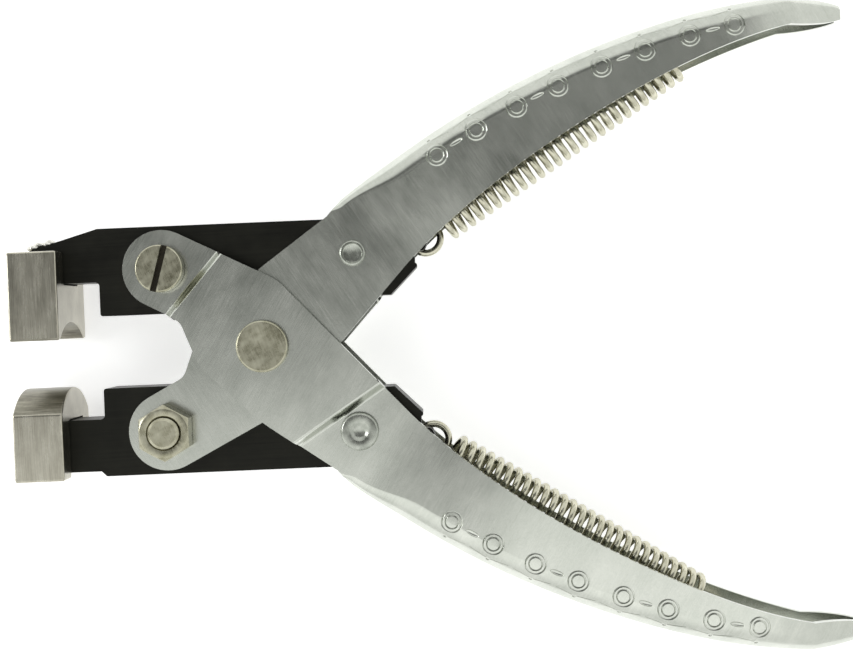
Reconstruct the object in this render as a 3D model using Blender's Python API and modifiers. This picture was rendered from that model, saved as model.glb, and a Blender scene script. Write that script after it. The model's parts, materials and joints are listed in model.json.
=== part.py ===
"""Parallel-action forming pliers with a concave and a convex die, modelled open.

The tool lies flat. +X runs from the pivot to the grips, +Y to the upper handle and +Z up along the
pivot. The origin is the centre of the flat face under the pivot rivet. Both handles are one pressing,
and so are most of the other pieces on the two sides: the lower side is the upper side turned half
round about the X axis, so its pieces are built on the +Y side and then turned over.
"""

import math

import bmesh
import bpy
from mathutils import Matrix, Vector

MM = 0.001

# Gaps between pieces.
GAP = 0.3 * MM
RUNNING_GAP = 0.15 * MM

# Linkage. The four moving pins sit at one radius from the pivot.
PIN_RADIUS = 25.0 * MM
FRONT_PIN_ANGLE = math.radians(39.3)
REAR_PIN_ANGLE = math.radians(43.9)
DIE_CLEARANCE_CLOSED = 0.25 * MM

# Sheet-steel handles.
SHEET = 1.5 * MM
LUG_RADIUS = 7.6 * MM
WAIST_INNER = 11.7 * MM
WAIST_OUTER = 11.5 * MM
HIP_REAR = 9.6 * MM
HIP_FRONT = -7.0 * MM
HIP_RISE = 0.6 * MM
SHOULDER = -6.1 * MM
LUG_NECK_BEHIND = 2.0 * MM
LUG_NECK_DROP = 14.1 * MM
HIP_REAR_ROUND = 20.0 * MM
HIP_FRONT_ROUND = 9.0 * MM
LUG_NECK_ROUND = 3.0 * MM
SHOULDER_ROUND = 8.0 * MM
CHANNEL_FRONT = 30.6 * MM
CHANNEL_FRONT_INNER = 7.9 * MM
CHANNEL_FRONT_BACK = 10.3 * MM
GRIP_REACH = 105.6 * MM
GRIP_SPREAD = 61.7 * MM
GRIP_END_DEPTH = 5.9 * MM
GRIP_WIDTH = 17.0 * MM
GRIP_FLARE_SHARE = 0.35
GRIP_TAPER_REACH = 84.0 * MM
TIP_WIDTH = 4.6 * MM
BACK_START_PULL = Vector((28.0, -21.7, 0.0)) * MM
BACK_END_PULL = Vector((-27.5, 2.2, 0.0)) * MM
EDGE_START_PULL = Vector((17.5, -18.6, 0.0)) * MM
EDGE_END_PULL = Vector((-24.0, 5.5, 0.0)) * MM
FOLD_FRONT_RADIUS = 1.7 * MM
FOLD_RADIUS = 3.6 * MM
FOLD_GROW_SHARE = 0.25
FOLD_DEPTH_SHARE = 0.6
TIP_LENGTH = 12.8 * MM
TIP_RISE_SHARE = 0.03
JOGGLE_RUN = 1.7 * MM
FRONT_JOGGLE_FOOT = 6.0 * MM
REAR_JOGGLE_SLANT = math.radians(15.8)

# Jaw bars.
BAR_THICKNESS = 9.5 * MM
BAR_FRONT = -32.0 * MM
BAR_INNER = 7.1 * MM
BAR_OUTER = 24.3 * MM
TAIL_INNER = 9.0 * MM
TAIL_STEP = 15.1 * MM
UPPER_NECK_INNER = 13.8 * MM
UPPER_NECK_OUTER = 20.5 * MM
LOWER_NECK_INNER = 13.1 * MM
LOWER_NECK_OUTER = 23.3 * MM
NECK_END = -45.5 * MM
NECK_ROOT_RUN = 1.0 * MM
SLOT_END_WALL = 1.9 * MM
TAIL_RISE_BEFORE = 0.9 * MM
TAIL_STEP_DROP = 2.1 * MM
TAIL_NOSE = (Vector((-0.4, -2.5)) * MM, Vector((0.5, -0.6)) * MM, Vector((-0.5, 1.2)) * MM)
TAIL_NOSE_ROUND = 0.9 * MM
TAIL_TOP_BEFORE = 2.8 * MM
TAIL_TOP_ROUND = 1.5 * MM
BAR_CORNER = 0.5 * MM
NECK_CORNER = 0.4 * MM
NECK_ROOT_ROUND = 0.8 * MM

# Dies.
DIE_FRONT = -48.5 * MM
DIE_LENGTH = 9.6 * MM
DIE_WIDTH = 20.0 * MM
UPPER_DIE_FACE = 2.85 * MM
UPPER_DIE_BACK = 20.1 * MM
LOWER_DIE_FACE = 11.35 * MM
LOWER_DIE_BACK = 24.35 * MM
RIDGE_RADIUS = 13.0 * MM
GROOVE_RADIUS = 12.8 * MM
GROOVE_HALF_CHORD = 8.6 * MM
WELD_SIZE = Vector((5.2, 2.8, 7.2)) * MM
WELD_FLAT_SHARE = 0.05

# Fasteners.
PIVOT_SHANK = 3.6 * MM
PIVOT_HEAD = 5.0 * MM
PIVOT_HEAD_HEIGHT = 1.6 * MM
BUSH_RADIUS = 5.2 * MM
SCREW_SHANK = 3.0 * MM
SCREW_HEAD = 4.6 * MM
SCREW_HEAD_HEIGHT = 2.6 * MM
SCREW_SLOT = Vector((12.0, 1.2, 1.3)) * MM
SCREW_SLOT_ANGLE = math.radians(74)
NUT_ACROSS_FLATS = 9.6 * MM
NUT_HEIGHT = 4.2 * MM
SCREW_END = 0.8 * MM
SLIDE_SHANK = 2.2 * MM
SLIDE_HEAD = 3.7 * MM
SLIDE_HEAD_HEIGHT = 1.3 * MM
SLIDE_END = 2.5 * MM
SLIDE_END_HEIGHT = 1.0 * MM
CHAMFER = 0.5 * MM

# Tension springs.
WIRE_RADIUS = 0.6 * MM
COIL_RADIUS = 2.95 * MM
COIL_TURNS = 27
SPRING_FRONT = Vector((32.4, 20.0, 0.0)) * MM
SPRING_SEAT_SHARE = 0.773
SPRING_SEAT_DEPTH = 6.61 * MM
LOOP_REACH = 4.3 * MM
POST_RADIUS = 0.9 * MM
TONGUE_WIDTH = 3.0 * MM
LOOP_HALF_TURN = 120
LOOP_LIFT_FROM = 60
LOOP_STEP = 24
HOOK_START = 48
HOOK_END = -252
HOOK_STEP = 20

# Finish of the meshes.
GRIP_SECTIONS = 14
TIP_SECTIONS = (15, 30, 45, 58)
FOLD_STEPS = 4
COIL_STEPS = 9
POST_SIDES = 12
SPINE_STEPS = 60
ROUND_STEPS = 24
ARC_STEP = math.radians(15)
EDGE_BREAK = 0.3 * MM
CUT_MARGIN = 3.0 * MM

# Heights from the tool's middle plane, and the middle plane above the origin.
CHEEK_INSIDE = BAR_THICKNESS / 2 + GAP
CHEEK_OUTSIDE = CHEEK_INSIDE + SHEET
JOGGLE_RISE = SHEET + GAP
CROSSING_OUTSIDE = CHEEK_OUTSIDE + JOGGLE_RISE
PIVOT_HEAD_FACE = CROSSING_OUTSIDE + GAP + PIVOT_HEAD_HEIGHT
FASTENER_SEAT = CHEEK_OUTSIDE + GAP

# Places of the pins when the tool is open.
FRONT_PIN = Vector((-math.cos(FRONT_PIN_ANGLE), math.sin(FRONT_PIN_ANGLE), 0)) * PIN_RADIUS
REAR_PIN = Vector((math.cos(REAR_PIN_ANGLE), math.sin(REAR_PIN_ANGLE), 0)) * PIN_RADIUS
MEAN_PIN_ANGLE = (FRONT_PIN_ANGLE + REAR_PIN_ANGLE) / 2
PIN_SKEW = (REAR_PIN_ANGLE - FRONT_PIN_ANGLE) / 2

OVER = Matrix.Rotation(math.pi, 4, "X")

FINISHES = {
    "handle_steel": ((0.56, 0.58, 0.55), 0.34, 1.0),
    "blackened_steel": ((0.012, 0.012, 0.011), 0.42, 0.7),
    "bare_steel": ((0.47, 0.45, 0.39), 0.36, 1.0),
    "nickel": ((0.52, 0.50, 0.42), 0.28, 1.0),
    "spring_wire": ((0.60, 0.58, 0.48), 0.25, 1.0),
    "braze": ((0.66, 0.65, 0.60), 0.30, 1.0),
}


# Linkage figures


def ridge_height():
    """Height of the lower die's half-round over its two side edges."""
    return RIDGE_RADIUS - math.sqrt(RIDGE_RADIUS**2 - (DIE_WIDTH / 2) ** 2)


def ridge_at(across):
    """Height of the half-round over the side edges at a distance from its crest."""
    return math.sqrt(RIDGE_RADIUS**2 - across**2) - RIDGE_RADIUS + ridge_height()


def groove_at(across):
    """Depth of the upper die's groove at a distance from its middle."""
    rim = math.sqrt(GROOVE_RADIUS**2 - GROOVE_HALF_CHORD**2)
    return math.sqrt(GROOVE_RADIUS**2 - across**2) - rim


def jaw_travel():
    """How far each jaw moves towards the other from open to closed."""
    nested = max(ridge_at(0) - groove_at(0), ridge_at(GROOVE_HALF_CHORD))
    open_gap = UPPER_DIE_FACE + LOWER_DIE_FACE
    return (open_gap - nested - DIE_CLEARANCE_CLOSED) / 2


def closing_angle():
    """Angle that each handle turns through from open to closed."""
    closed = math.asin(math.sin(FRONT_PIN_ANGLE) - jaw_travel() / PIN_RADIUS)
    return FRONT_PIN_ANGLE - closed


def pivot_shift():
    """Path of the pivot in the upper jaw's own frame, from open to closed."""
    closed = FRONT_PIN_ANGLE - closing_angle()
    ahead = (math.cos(closed) - math.cos(FRONT_PIN_ANGLE)) * PIN_RADIUS
    return Vector((ahead, jaw_travel(), 0))


def slot_ends():
    """Centres of the two ends of the upper jaw's slot, open first."""
    along = Vector((math.cos(PIN_SKEW), math.sin(PIN_SKEW), 0))
    angles = (MEAN_PIN_ANGLE, MEAN_PIN_ANGLE - closing_angle())
    return [FRONT_PIN + along * 2 * PIN_RADIUS * math.cos(angle) for angle in angles]


# Outlines


def arc(centre, radius, start, end):
    """Points along an arc, both ends included."""
    steps = max(2, math.ceil(abs(end - start) / ARC_STEP))
    angles = [start + (end - start) * i / steps for i in range(steps + 1)]
    return [(centre[0] + radius * math.cos(a), centre[1] + radius * math.sin(a)) for a in angles]


def rounded_corner(before, corner, after, radius):
    """Points of the arc that rounds one corner between its two neighbours."""
    here = Vector(corner)
    back = (Vector(before) - here).normalized()
    ahead = (Vector(after) - here).normalized()
    half = back.angle(ahead) / 2
    reach = radius / math.tan(half)
    centre = here + (back + ahead).normalized() * (radius / math.sin(half))
    first = here + back * reach - centre
    last = here + ahead * reach - centre
    start = math.atan2(first.y, first.x)
    turn = (math.atan2(last.y, last.x) - start + math.pi) % (2 * math.pi) - math.pi
    return arc(centre, radius, start, start + turn)


def outline(corners, closed=True):
    """Points of a path through (x, y, radius) corners, with each radius drawn as an arc."""
    points = []
    for i, (x, y, radius) in enumerate(corners):
        if radius == 0 or (not closed and i in (0, len(corners) - 1)):
            points.append((x, y))
            continue
        before, after = corners[i - 1], corners[(i + 1) % len(corners)]
        points += rounded_corner(before[:2], (x, y), after[:2], radius)
    return points


def bezier(p0, p1, p2, p3, t):
    """Point of a cubic curve."""
    s = 1 - t
    return p0 * s**3 + p1 * 3 * s * s * t + p2 * 3 * s * t * t + p3 * t**3


def tangent_angle(centre, radius, point, side):
    """Angle on a circle where the line from an outside point touches it, on one side."""
    away = Vector(point) - Vector(centre)
    return math.atan2(away.y, away.x) + side * math.acos(radius / away.length)


# Scene helpers


def clear_scene():
    """Removes what the startup scene holds."""
    for obj in list(bpy.data.objects):
        bpy.data.objects.remove(obj, do_unlink=True)


def new_collection(name):
    """A collection in the scene."""
    collection = bpy.data.collections.new(name)
    bpy.context.scene.collection.children.link(collection)
    return collection


def new_material(name, finish):
    """A Principled material with one of the finishes."""
    colour, roughness, metallic = FINISHES[finish]
    material = bpy.data.materials.new(name)
    material.use_nodes = True
    shader = material.node_tree.nodes["Principled BSDF"]
    shader.inputs["Base Color"].default_value = (*colour, 1.0)
    shader.inputs["Roughness"].default_value = roughness
    shader.inputs["Metallic"].default_value = metallic
    material.diffuse_color = (*colour, 1.0)
    return material


def new_joint(name, parent, place):
    """An empty on a joint's axis, given in the tool's middle-plane frame."""
    joint = bpy.data.objects.new(name, None)
    joint.empty_display_size = 5 * MM
    PARTS.objects.link(joint)
    joint.parent = parent
    joint.location = place
    return joint


def as_part(obj, joint, finish, turned_over=False):
    """Hangs a piece on its joint's empty, with its origin there, and gives it a material."""
    if turned_over:
        obj.data.transform(OVER)
    obj.data.transform(Matrix.Translation(-joint.location))
    obj.parent = joint
    obj.data.materials.clear()
    obj.data.materials.append(new_material(obj.name, finish))
    for collection in list(obj.users_collection):
        collection.objects.unlink(obj)
    PARTS.objects.link(obj)
    return obj


def as_cutter(obj, joint, turned_over=False):
    """Makes a mesh a hidden cutter that sits with the pieces of one joint."""
    if turned_over:
        obj.data.transform(OVER)
    obj.data.transform(Matrix.Translation(-joint.location))
    obj.parent = joint
    obj.hide_render = True
    obj.display_type = "WIRE"
    for collection in list(obj.users_collection):
        collection.objects.unlink(obj)
    CUTTERS.objects.link(obj)
    return obj


def boolean(obj, other, operation="DIFFERENCE"):
    """Cuts or joins with another mesh by the exact solver."""
    modifier = obj.modifiers.new(other.name, "BOOLEAN")
    modifier.operation = operation
    modifier.solver = "EXACT"
    modifier.object = other


def break_edges(obj, width=EDGE_BREAK):
    """Takes the sharpness off a piece's edges."""
    modifier = obj.modifiers.new("edge_break", "BEVEL")
    modifier.width = width
    modifier.segments = 1
    modifier.limit_method = "ANGLE"
    modifier.angle_limit = math.radians(50)


def shade_round(obj):
    """Smooth shading with the real edges kept sharp."""
    obj.data.shade_smooth()
    obj.data.set_sharp_from_angle(angle=math.radians(35))


def link_mesh(name, mesh):
    """An object for a mesh, in the cutters' collection until it is given its role."""
    obj = bpy.data.objects.new(name, mesh)
    CUTTERS.objects.link(obj)
    return obj


def from_bmesh(name, bm):
    """An object from a bmesh."""
    mesh = bpy.data.meshes.new(name)
    bm.to_mesh(mesh)
    bm.free()
    return link_mesh(name, mesh)


def curve_to_mesh(curve_object):
    """The evaluated mesh of a curve object with its caps welded; the curve is removed."""
    bpy.context.view_layer.update()
    graph = bpy.context.evaluated_depsgraph_get()
    mesh = bpy.data.meshes.new_from_object(curve_object.evaluated_get(graph))
    bm = bmesh.new()
    bm.from_mesh(mesh)
    bmesh.ops.remove_doubles(bm, verts=bm.verts, dist=1e-6)
    bmesh.ops.recalc_face_normals(bm, faces=bm.faces)
    bm.to_mesh(mesh)
    bm.free()
    name = curve_object.name
    bpy.data.objects.remove(curve_object, do_unlink=True)
    obj = link_mesh(name, mesh)
    obj.name = name
    return obj


def plate(name, points, low, high):
    """A flat outline in XY filled and extruded between two heights."""
    curve = bpy.data.curves.new(name, "CURVE")
    curve.dimensions = "2D"
    curve.fill_mode = "BOTH"
    curve.extrude = (high - low) / 2
    spline = curve.splines.new("POLY")
    spline.points.add(len(points) - 1)
    for point, (x, y) in zip(spline.points, points):
        point.co = (x, y, 0, 1)
    spline.use_cyclic_u = True
    obj = curve_to_mesh(link_mesh(name, curve))
    obj.data.transform(Matrix.Translation((0, 0, (low + high) / 2)))
    return obj


def along_x(obj):
    """Turns a plate whose outline was (y, z) so that it is extruded along X."""
    obj.data.transform(Matrix(((0, 0, 1, 0), (1, 0, 0, 0), (0, 1, 0, 0), (0, 0, 0, 1))))
    return obj


def box(name, low, high):
    """A box between two corners."""
    bm = bmesh.new()
    bmesh.ops.create_cube(bm, size=1)
    size = Vector(high) - Vector(low)
    bmesh.ops.scale(bm, vec=size, verts=bm.verts)
    bmesh.ops.translate(bm, vec=Vector(low) + size / 2, verts=bm.verts)
    return from_bmesh(name, bm)


def cylinder(name, centre, radius, low, high, sides=ROUND_STEPS):
    """A cylinder or prism along Z."""
    bm = bmesh.new()
    bmesh.ops.create_cone(
        bm, cap_ends=True, segments=sides, radius1=radius, radius2=radius, depth=high - low
    )
    bmesh.ops.translate(bm, vec=(centre[0], centre[1], (low + high) / 2), verts=bm.verts)
    return from_bmesh(name, bm)


def turned(name, profile):
    """A solid turned about Z from (radius, height) points listed from top to bottom."""
    bm = bmesh.new()
    verts = [bm.verts.new((radius, 0, height)) for radius, height in profile]
    for first, second in zip(verts, verts[1:]):
        bm.edges.new((first, second))
    obj = from_bmesh(name, bm)
    screw = obj.modifiers.new("turn", "SCREW")
    screw.axis = "Z"
    screw.steps = screw.render_steps = ROUND_STEPS
    screw.use_merge_vertices = True
    screw.merge_threshold = 0.00001
    return obj


def fixed(obj):
    """The same object with its modifiers made part of its mesh."""
    bpy.context.view_layer.update()
    graph = bpy.context.evaluated_depsgraph_get()
    mesh = bpy.data.meshes.new_from_object(obj.evaluated_get(graph))
    obj.modifiers.clear()
    obj.data = mesh
    return obj


def wire(name, points, radius):
    """A round wire with closed ends along a list of points."""
    curve = bpy.data.curves.new(name, "CURVE")
    curve.dimensions = "3D"
    curve.bevel_depth = radius
    curve.bevel_resolution = 1
    curve.use_fill_caps = True
    spline = curve.splines.new("POLY")
    spline.points.add(len(points) - 1)
    for point, place in zip(spline.points, points):
        point.co = (*place, 1)
    return curve_to_mesh(link_mesh(name, curve))


# Handles


def on_handle(along, across):
    """A point of the lower handle, from its distance along and across the line of its pins."""
    c, s = math.cos(MEAN_PIN_ANGLE), math.sin(MEAN_PIN_ANGLE)
    return Vector((along * c + across * s, -along * s + across * c, 0))


def grip_curves():
    """Control points of the grip's back and of its inner edge, in XY."""
    back_start = on_handle(CHANNEL_FRONT, -CHANNEL_FRONT_BACK)
    edge_start = on_handle(CHANNEL_FRONT, CHANNEL_FRONT_INNER)
    end = Vector((GRIP_REACH, -GRIP_SPREAD, 0))
    half = Vector((0, GRIP_END_DEPTH / 2, 0))
    back_end, edge_end = end - half, end + half
    back = (back_start, back_start + BACK_START_PULL, back_end + BACK_END_PULL, back_end)
    edge = (edge_start, edge_start + EDGE_START_PULL, edge_end + EDGE_END_PULL, edge_end)
    return back, edge


def spring_rear():
    """Centre of the upper spring's rear loop, set in from the grip's back by the seat's depth."""
    back, _ = grip_curves()
    place = bezier(*back, SPRING_SEAT_SHARE)
    ahead = (bezier(*back, SPRING_SEAT_SHARE + 0.001) - place).normalized()
    seat = place + Vector((-ahead.y, ahead.x, 0)) * SPRING_SEAT_DEPTH
    return Vector((seat.x, -seat.y, 0))


def eased(share):
    """A share between 0 and 1, eased at both ends."""
    share = min(1.0, max(0.0, share))
    return share * share * (3 - 2 * share)


def grip_half_width(place, t):
    """Half the channel's outer width: it flares behind the cheeks and narrows towards the tip."""
    flare = CHEEK_OUTSIDE + (GRIP_WIDTH / 2 - CHEEK_OUTSIDE) * eased(t / GRIP_FLARE_SHARE)
    tip = GRIP_REACH + TIP_LENGTH * math.sin(math.radians(TIP_SECTIONS[-1]))
    taper = max(0.0, (place.x - GRIP_TAPER_REACH) / (tip - GRIP_TAPER_REACH))
    return flare - (GRIP_WIDTH - TIP_WIDTH) / 2 * taper**2


def grip_stations():
    """(back point, inner edge point, half width, fold radius) of the channel's sections, to the tip."""
    back, edge = grip_curves()
    stations = []
    for i in range(GRIP_SECTIONS + 1):
        t = i / GRIP_SECTIONS
        behind, ahead = bezier(*back, t), bezier(*edge, t)
        grown = eased(t / FOLD_GROW_SHARE)
        radius = FOLD_FRONT_RADIUS + (FOLD_RADIUS - FOLD_FRONT_RADIUS) * grown
        stations.append((behind, ahead, grip_half_width((behind + ahead) / 2, t), radius))
    middle = (stations[-1][0] + stations[-1][1]) / 2
    for degrees in TIP_SECTIONS:
        turn = math.radians(degrees)
        centre = middle + Vector((1, TIP_RISE_SHARE, 0)) * math.sin(turn) * TIP_LENGTH
        half = Vector((0, math.cos(turn) * GRIP_END_DEPTH / 2, 0))
        stations.append((centre - half, centre + half, grip_half_width(centre, 1), FOLD_RADIUS))
    return stations


def fold_start(back, edge, radius):
    """Where the fold begins on a cheek, and the fold's radius there."""
    depth = (edge - back).length
    radius = min(radius, FOLD_DEPTH_SHARE * depth)
    return back + (edge - back) * (radius / depth), radius


def section_points(back, edge, width, radius):
    """Outer points of one U section, from the upper cheek's edge round to the lower cheek's."""
    start, radius = fold_start(back, edge, radius)
    inward = (edge - back).normalized()
    points = [(*edge.xy, width), (*start.xy, width)]
    for i in range(1, FOLD_STEPS + 1):
        turn = math.pi / 2 * i / FOLD_STEPS
        place = back + inward * radius * (1 - math.sin(turn))
        points.append((*place.xy, width - radius * (1 - math.cos(turn))))
    return points + [(x, y, -z) for x, y, z in reversed(points)]


def cheek_path():
    """Outline of a cheek ahead of the channel, from the fold's front end round the lug."""
    back, edge, _, radius = grip_stations()[0]
    start, _ = fold_start(back, edge, radius)
    pin = Vector((FRONT_PIN.x, FRONT_PIN.y))
    neck = on_handle(LUG_RADIUS + LUG_NECK_BEHIND - PIN_RADIUS, LUG_RADIUS - LUG_NECK_DROP)
    shoulder = on_handle(SHOULDER, WAIST_INNER)
    hip_rear = on_handle(HIP_REAR, -WAIST_OUTER)
    hip_front = on_handle(HIP_FRONT, HIP_RISE - WAIST_OUTER)
    first = tangent_angle(pin, LUG_RADIUS, neck.xy, -1)
    last = tangent_angle(pin, LUG_RADIUS, shoulder.xy, 1)
    first_point = pin + Vector((math.cos(first), math.sin(first))) * LUG_RADIUS
    last_point = pin + Vector((math.cos(last), math.sin(last))) * LUG_RADIUS
    before = outline(
        [(*start.xy, 0), (*hip_rear.xy, HIP_REAR_ROUND), (*hip_front.xy, HIP_FRONT_ROUND),
         (*neck.xy, LUG_NECK_ROUND), (*first_point, 0)], closed=False)[:-1]
    sweep = (last - first) % (2 * math.pi) - 2 * math.pi
    lug = arc(pin, LUG_RADIUS, first, first + sweep)
    after = outline(
        [(*last_point, 0), (*shoulder.xy, SHOULDER_ROUND), (*edge.xy, 0)], closed=False)[1:]
    return before + lug + after


def joggle_height(place):
    """Rise of the joggled cheek at a point: full between the two joggles, none outside them."""
    rise = 1.0
    for foot, towards in joggle_planes():
        rise = min(rise, max(0.0, (Vector(place) - foot).dot(towards) / JOGGLE_RUN))
    return rise * JOGGLE_RISE


def joggle_planes():
    """(point, normal) of the two lines where the joggles start, normals towards the pivot."""
    front_normal = on_handle(1, 0)
    slant = Matrix.Rotation(-REAR_JOGGLE_SLANT, 3, "Z")
    rear_normal = slant @ on_handle(-1, 0)
    front = Vector(FRONT_PIN) + front_normal * FRONT_JOGGLE_FOOT
    rear_pin = Vector((REAR_PIN.x, -REAR_PIN.y, 0))
    rear = rear_pin + rear_normal * (SLIDE_HEAD + GAP)
    return [(front, front_normal), (rear, rear_normal)]


def add_cheek(bm, level, joggled):
    """Adds a cheek at one height. Returns its corners at the fold and at the inner edge."""
    verts = [bm.verts.new((x, y, 0)) for x, y in cheek_path()]
    face = bm.faces.new(verts)
    first, last = verts[0], verts[-1]
    if joggled:
        faces = [face]
        for foot, towards in joggle_planes():
            for run in (0, JOGGLE_RUN):
                geometry = faces + list({v for f in faces for v in f.verts})
                geometry += list({e for f in faces for e in f.edges})
                cut = bmesh.ops.bisect_plane(
                    bm, geom=geometry, plane_co=foot + towards * run, plane_no=towards, dist=1e-7
                )
                faces = [g for g in cut["geom"] if isinstance(g, bmesh.types.BMFace)]
        cheek = {v for f in faces for v in f.verts}
    else:
        cheek = set(verts)
    for vert in cheek:
        rise = joggle_height(vert.co) if joggled else 0.0
        vert.co.z = level + math.copysign(rise, level)
    return first, last


def handle_sheet(name):
    """The lower handle as one bent sheet with its holes, joggled on the upper face."""
    bm = bmesh.new()
    upper = add_cheek(bm, CHEEK_OUTSIDE, True)
    lower = add_cheek(bm, -CHEEK_OUTSIDE, False)
    rings = []
    for i, station in enumerate(grip_stations()):
        points = section_points(*station)
        if i:
            rings.append([bm.verts.new(point) for point in points])
            continue
        inner = [bm.verts.new(point) for point in points[2:-2]]
        rings.append([upper[1], upper[0], *inner, lower[0], lower[1]])
    for near, far in zip(rings, rings[1:]):
        for j in range(len(near) - 1):
            bm.faces.new((near[j], far[j], far[j + 1], near[j + 1]))
    bmesh.ops.recalc_face_normals(bm, faces=bm.faces)
    top = max(bm.faces, key=lambda f: f.calc_center_median().z)
    if top.normal.z < 0:
        bmesh.ops.reverse_faces(bm, faces=bm.faces)
    obj = from_bmesh(name, bm)
    wall = obj.modifiers.new("sheet", "SOLIDIFY")
    wall.thickness = SHEET
    wall.offset = -1
    wall.use_even_offset = True
    return obj


def spring_tongue(name):
    """A tongue lanced from the lower handle's back, which holds its spring's rear loop."""
    rear = spring_rear()
    place = Vector((rear.x, -rear.y, 0))
    along = (rear - SPRING_FRONT).normalized()
    out = Vector((-along.y, -along.x, 0))
    back, _ = grip_curves()
    spine = [bezier(*back, i / SPINE_STEPS) for i in range(SPINE_STEPS + 1)]
    nearest = min(spine, key=lambda p: abs((p - place).cross(out).z))
    reach = (nearest - place).dot(out) - SHEET / 2
    inner = COIL_RADIUS - WIRE_RADIUS - SHEET / 2 - RUNNING_GAP
    tongue = box(name, (-reach, inner - SHEET, -TONGUE_WIDTH / 2),
                 (COIL_RADIUS, inner, TONGUE_WIDTH / 2))
    frame = Matrix.Identity(4)
    frame.col[0] = (-out.x, -out.y, 0, 0)
    frame.col[1] = (-out.y, out.x, 0, 0)
    frame.col[3] = (*place, 1)
    if frame.col[1].xyz.dot(Vector((along.x, -along.y, 0))) < 0:
        frame.col[1] = -frame.col[1]
        frame.col[2] = -frame.col[2]
    tongue.data.transform(frame)
    return tongue


def make_handle(name, joint, turned_over):
    """A whole handle. The upper one is the lower one turned over."""
    handle = handle_sheet(name)
    tongue = as_cutter(spring_tongue(name + "_tongue"), joint, turned_over)
    rear_pin = (REAR_PIN.x, -REAR_PIN.y)
    holes = (((0, 0), PIVOT_SHANK), (FRONT_PIN, SCREW_SHANK), (rear_pin, SLIDE_SHANK))
    reach = CROSSING_OUTSIDE + CUT_MARGIN
    as_part(handle, joint, "handle_steel", turned_over)
    boolean(handle, tongue, "UNION")
    for i, (centre, radius) in enumerate(holes):
        hole = cylinder(f"{name}_hole_{i}", centre, radius + RUNNING_GAP, -reach, reach)
        boolean(handle, as_cutter(hole, joint, turned_over))
    shade_round(handle)
    return handle


# Jaws


def bar_corners(neck_inner, neck_outer, neck_root):
    """Outline of a jaw bar on the upper side, from its front inner corner.

    neck_root is where the neck's outer edge leaves the bar: at the bar's corner or below it.
    """
    tail = slot_ends()[1].x
    step = tail + SLIDE_SHANK + SLOT_END_WALL
    rise = tail - TAIL_RISE_BEFORE
    front = BAR_FRONT
    nose = [(*(SPRING_FRONT.xy + corner), TAIL_NOSE_ROUND) for corner in TAIL_NOSE]
    return [
        (front, BAR_INNER, BAR_CORNER),
        (PIVOT_SHANK, BAR_INNER, 0),
        (PIVOT_SHANK, TAIL_INNER, 0),
        (rise, TAIL_INNER, BAR_CORNER),
        (rise + (TAIL_STEP - TAIL_INNER), TAIL_STEP, BAR_CORNER),
        (step, TAIL_STEP, 0),
        (step, TAIL_STEP + TAIL_STEP_DROP, 0),
        *nose,
        (SPRING_FRONT.x - TAIL_TOP_BEFORE, BAR_OUTER, TAIL_TOP_ROUND),
        (front, BAR_OUTER, BAR_CORNER),
        *([(front - NECK_ROOT_RUN, neck_root, 0)] if neck_root < BAR_OUTER else []),
        (NECK_END, neck_outer, NECK_CORNER),
        (NECK_END, neck_inner, NECK_CORNER),
        (front, neck_inner, NECK_ROOT_ROUND),
    ]


def capsule(name, start, end, radius, reach):
    """A cutter with round ends that runs between two points."""
    along = Vector(end) - Vector(start)
    turn = math.atan2(along.y, along.x)
    points = arc(start, radius, turn + math.pi / 2, turn + 3 * math.pi / 2)
    points += arc(end, radius, turn - math.pi / 2, turn + math.pi / 2)
    return plate(name, points, -reach, reach)


def make_jaw_bar(name, joint, neck, turned_over):
    """A jaw bar with its pivot hole, slot, relief for the bush and post for the spring."""
    half = BAR_THICKNESS / 2
    reach = half + CUT_MARGIN
    bar = plate(name, outline(bar_corners(*neck)), -half, half)
    hole = cylinder(name + "_hole", FRONT_PIN, SCREW_SHANK + RUNNING_GAP, -reach, reach)
    slot = capsule(name + "_slot", *slot_ends(), SLIDE_SHANK + RUNNING_GAP, reach)
    relief = capsule(name + "_relief", (0, 0, 0), pivot_shift(), BUSH_RADIUS + GAP, reach)
    groove_half = WIRE_RADIUS + GAP
    groove = cylinder(name + "_groove", SPRING_FRONT, COIL_RADIUS + groove_half,
                      -groove_half, groove_half)
    along = (spring_rear() - SPRING_FRONT).normalized()
    post_place = SPRING_FRONT - along * (COIL_RADIUS - WIRE_RADIUS - POST_RADIUS - RUNNING_GAP)
    inside = half - GAP
    post = cylinder(name + "_post", post_place, POST_RADIUS, -inside, inside, POST_SIDES)
    as_part(bar, joint, "blackened_steel", turned_over)
    for cutter in (hole, slot, relief, groove):
        boolean(bar, as_cutter(cutter, joint, turned_over))
    boolean(bar, as_cutter(post, joint, turned_over), "UNION")
    return bar


def die_outline(face, back, arc_points):
    """(y, z) outline of a die from its working face to its back."""
    half = DIE_WIDTH / 2
    return [(face, -half), *arc_points, (face, half), (back, half), (back, -half)]


def groove_points():
    """(y, z) points of the concave groove in the upper die's face."""
    half = math.asin(GROOVE_HALF_CHORD / GROOVE_RADIUS)
    centre = (UPPER_DIE_FACE - GROOVE_RADIUS * math.cos(half), 0)
    return arc(centre, GROOVE_RADIUS, -half, half)


def ridge_points():
    """(y, z) points of the convex half-round on the lower die, built on the upper side."""
    half = math.asin(DIE_WIDTH / 2 / RIDGE_RADIUS)
    centre = (LOWER_DIE_FACE + RIDGE_RADIUS * math.cos(half), 0)
    return arc(centre, RIDGE_RADIUS, math.pi + half, math.pi - half)[1:-1]


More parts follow.
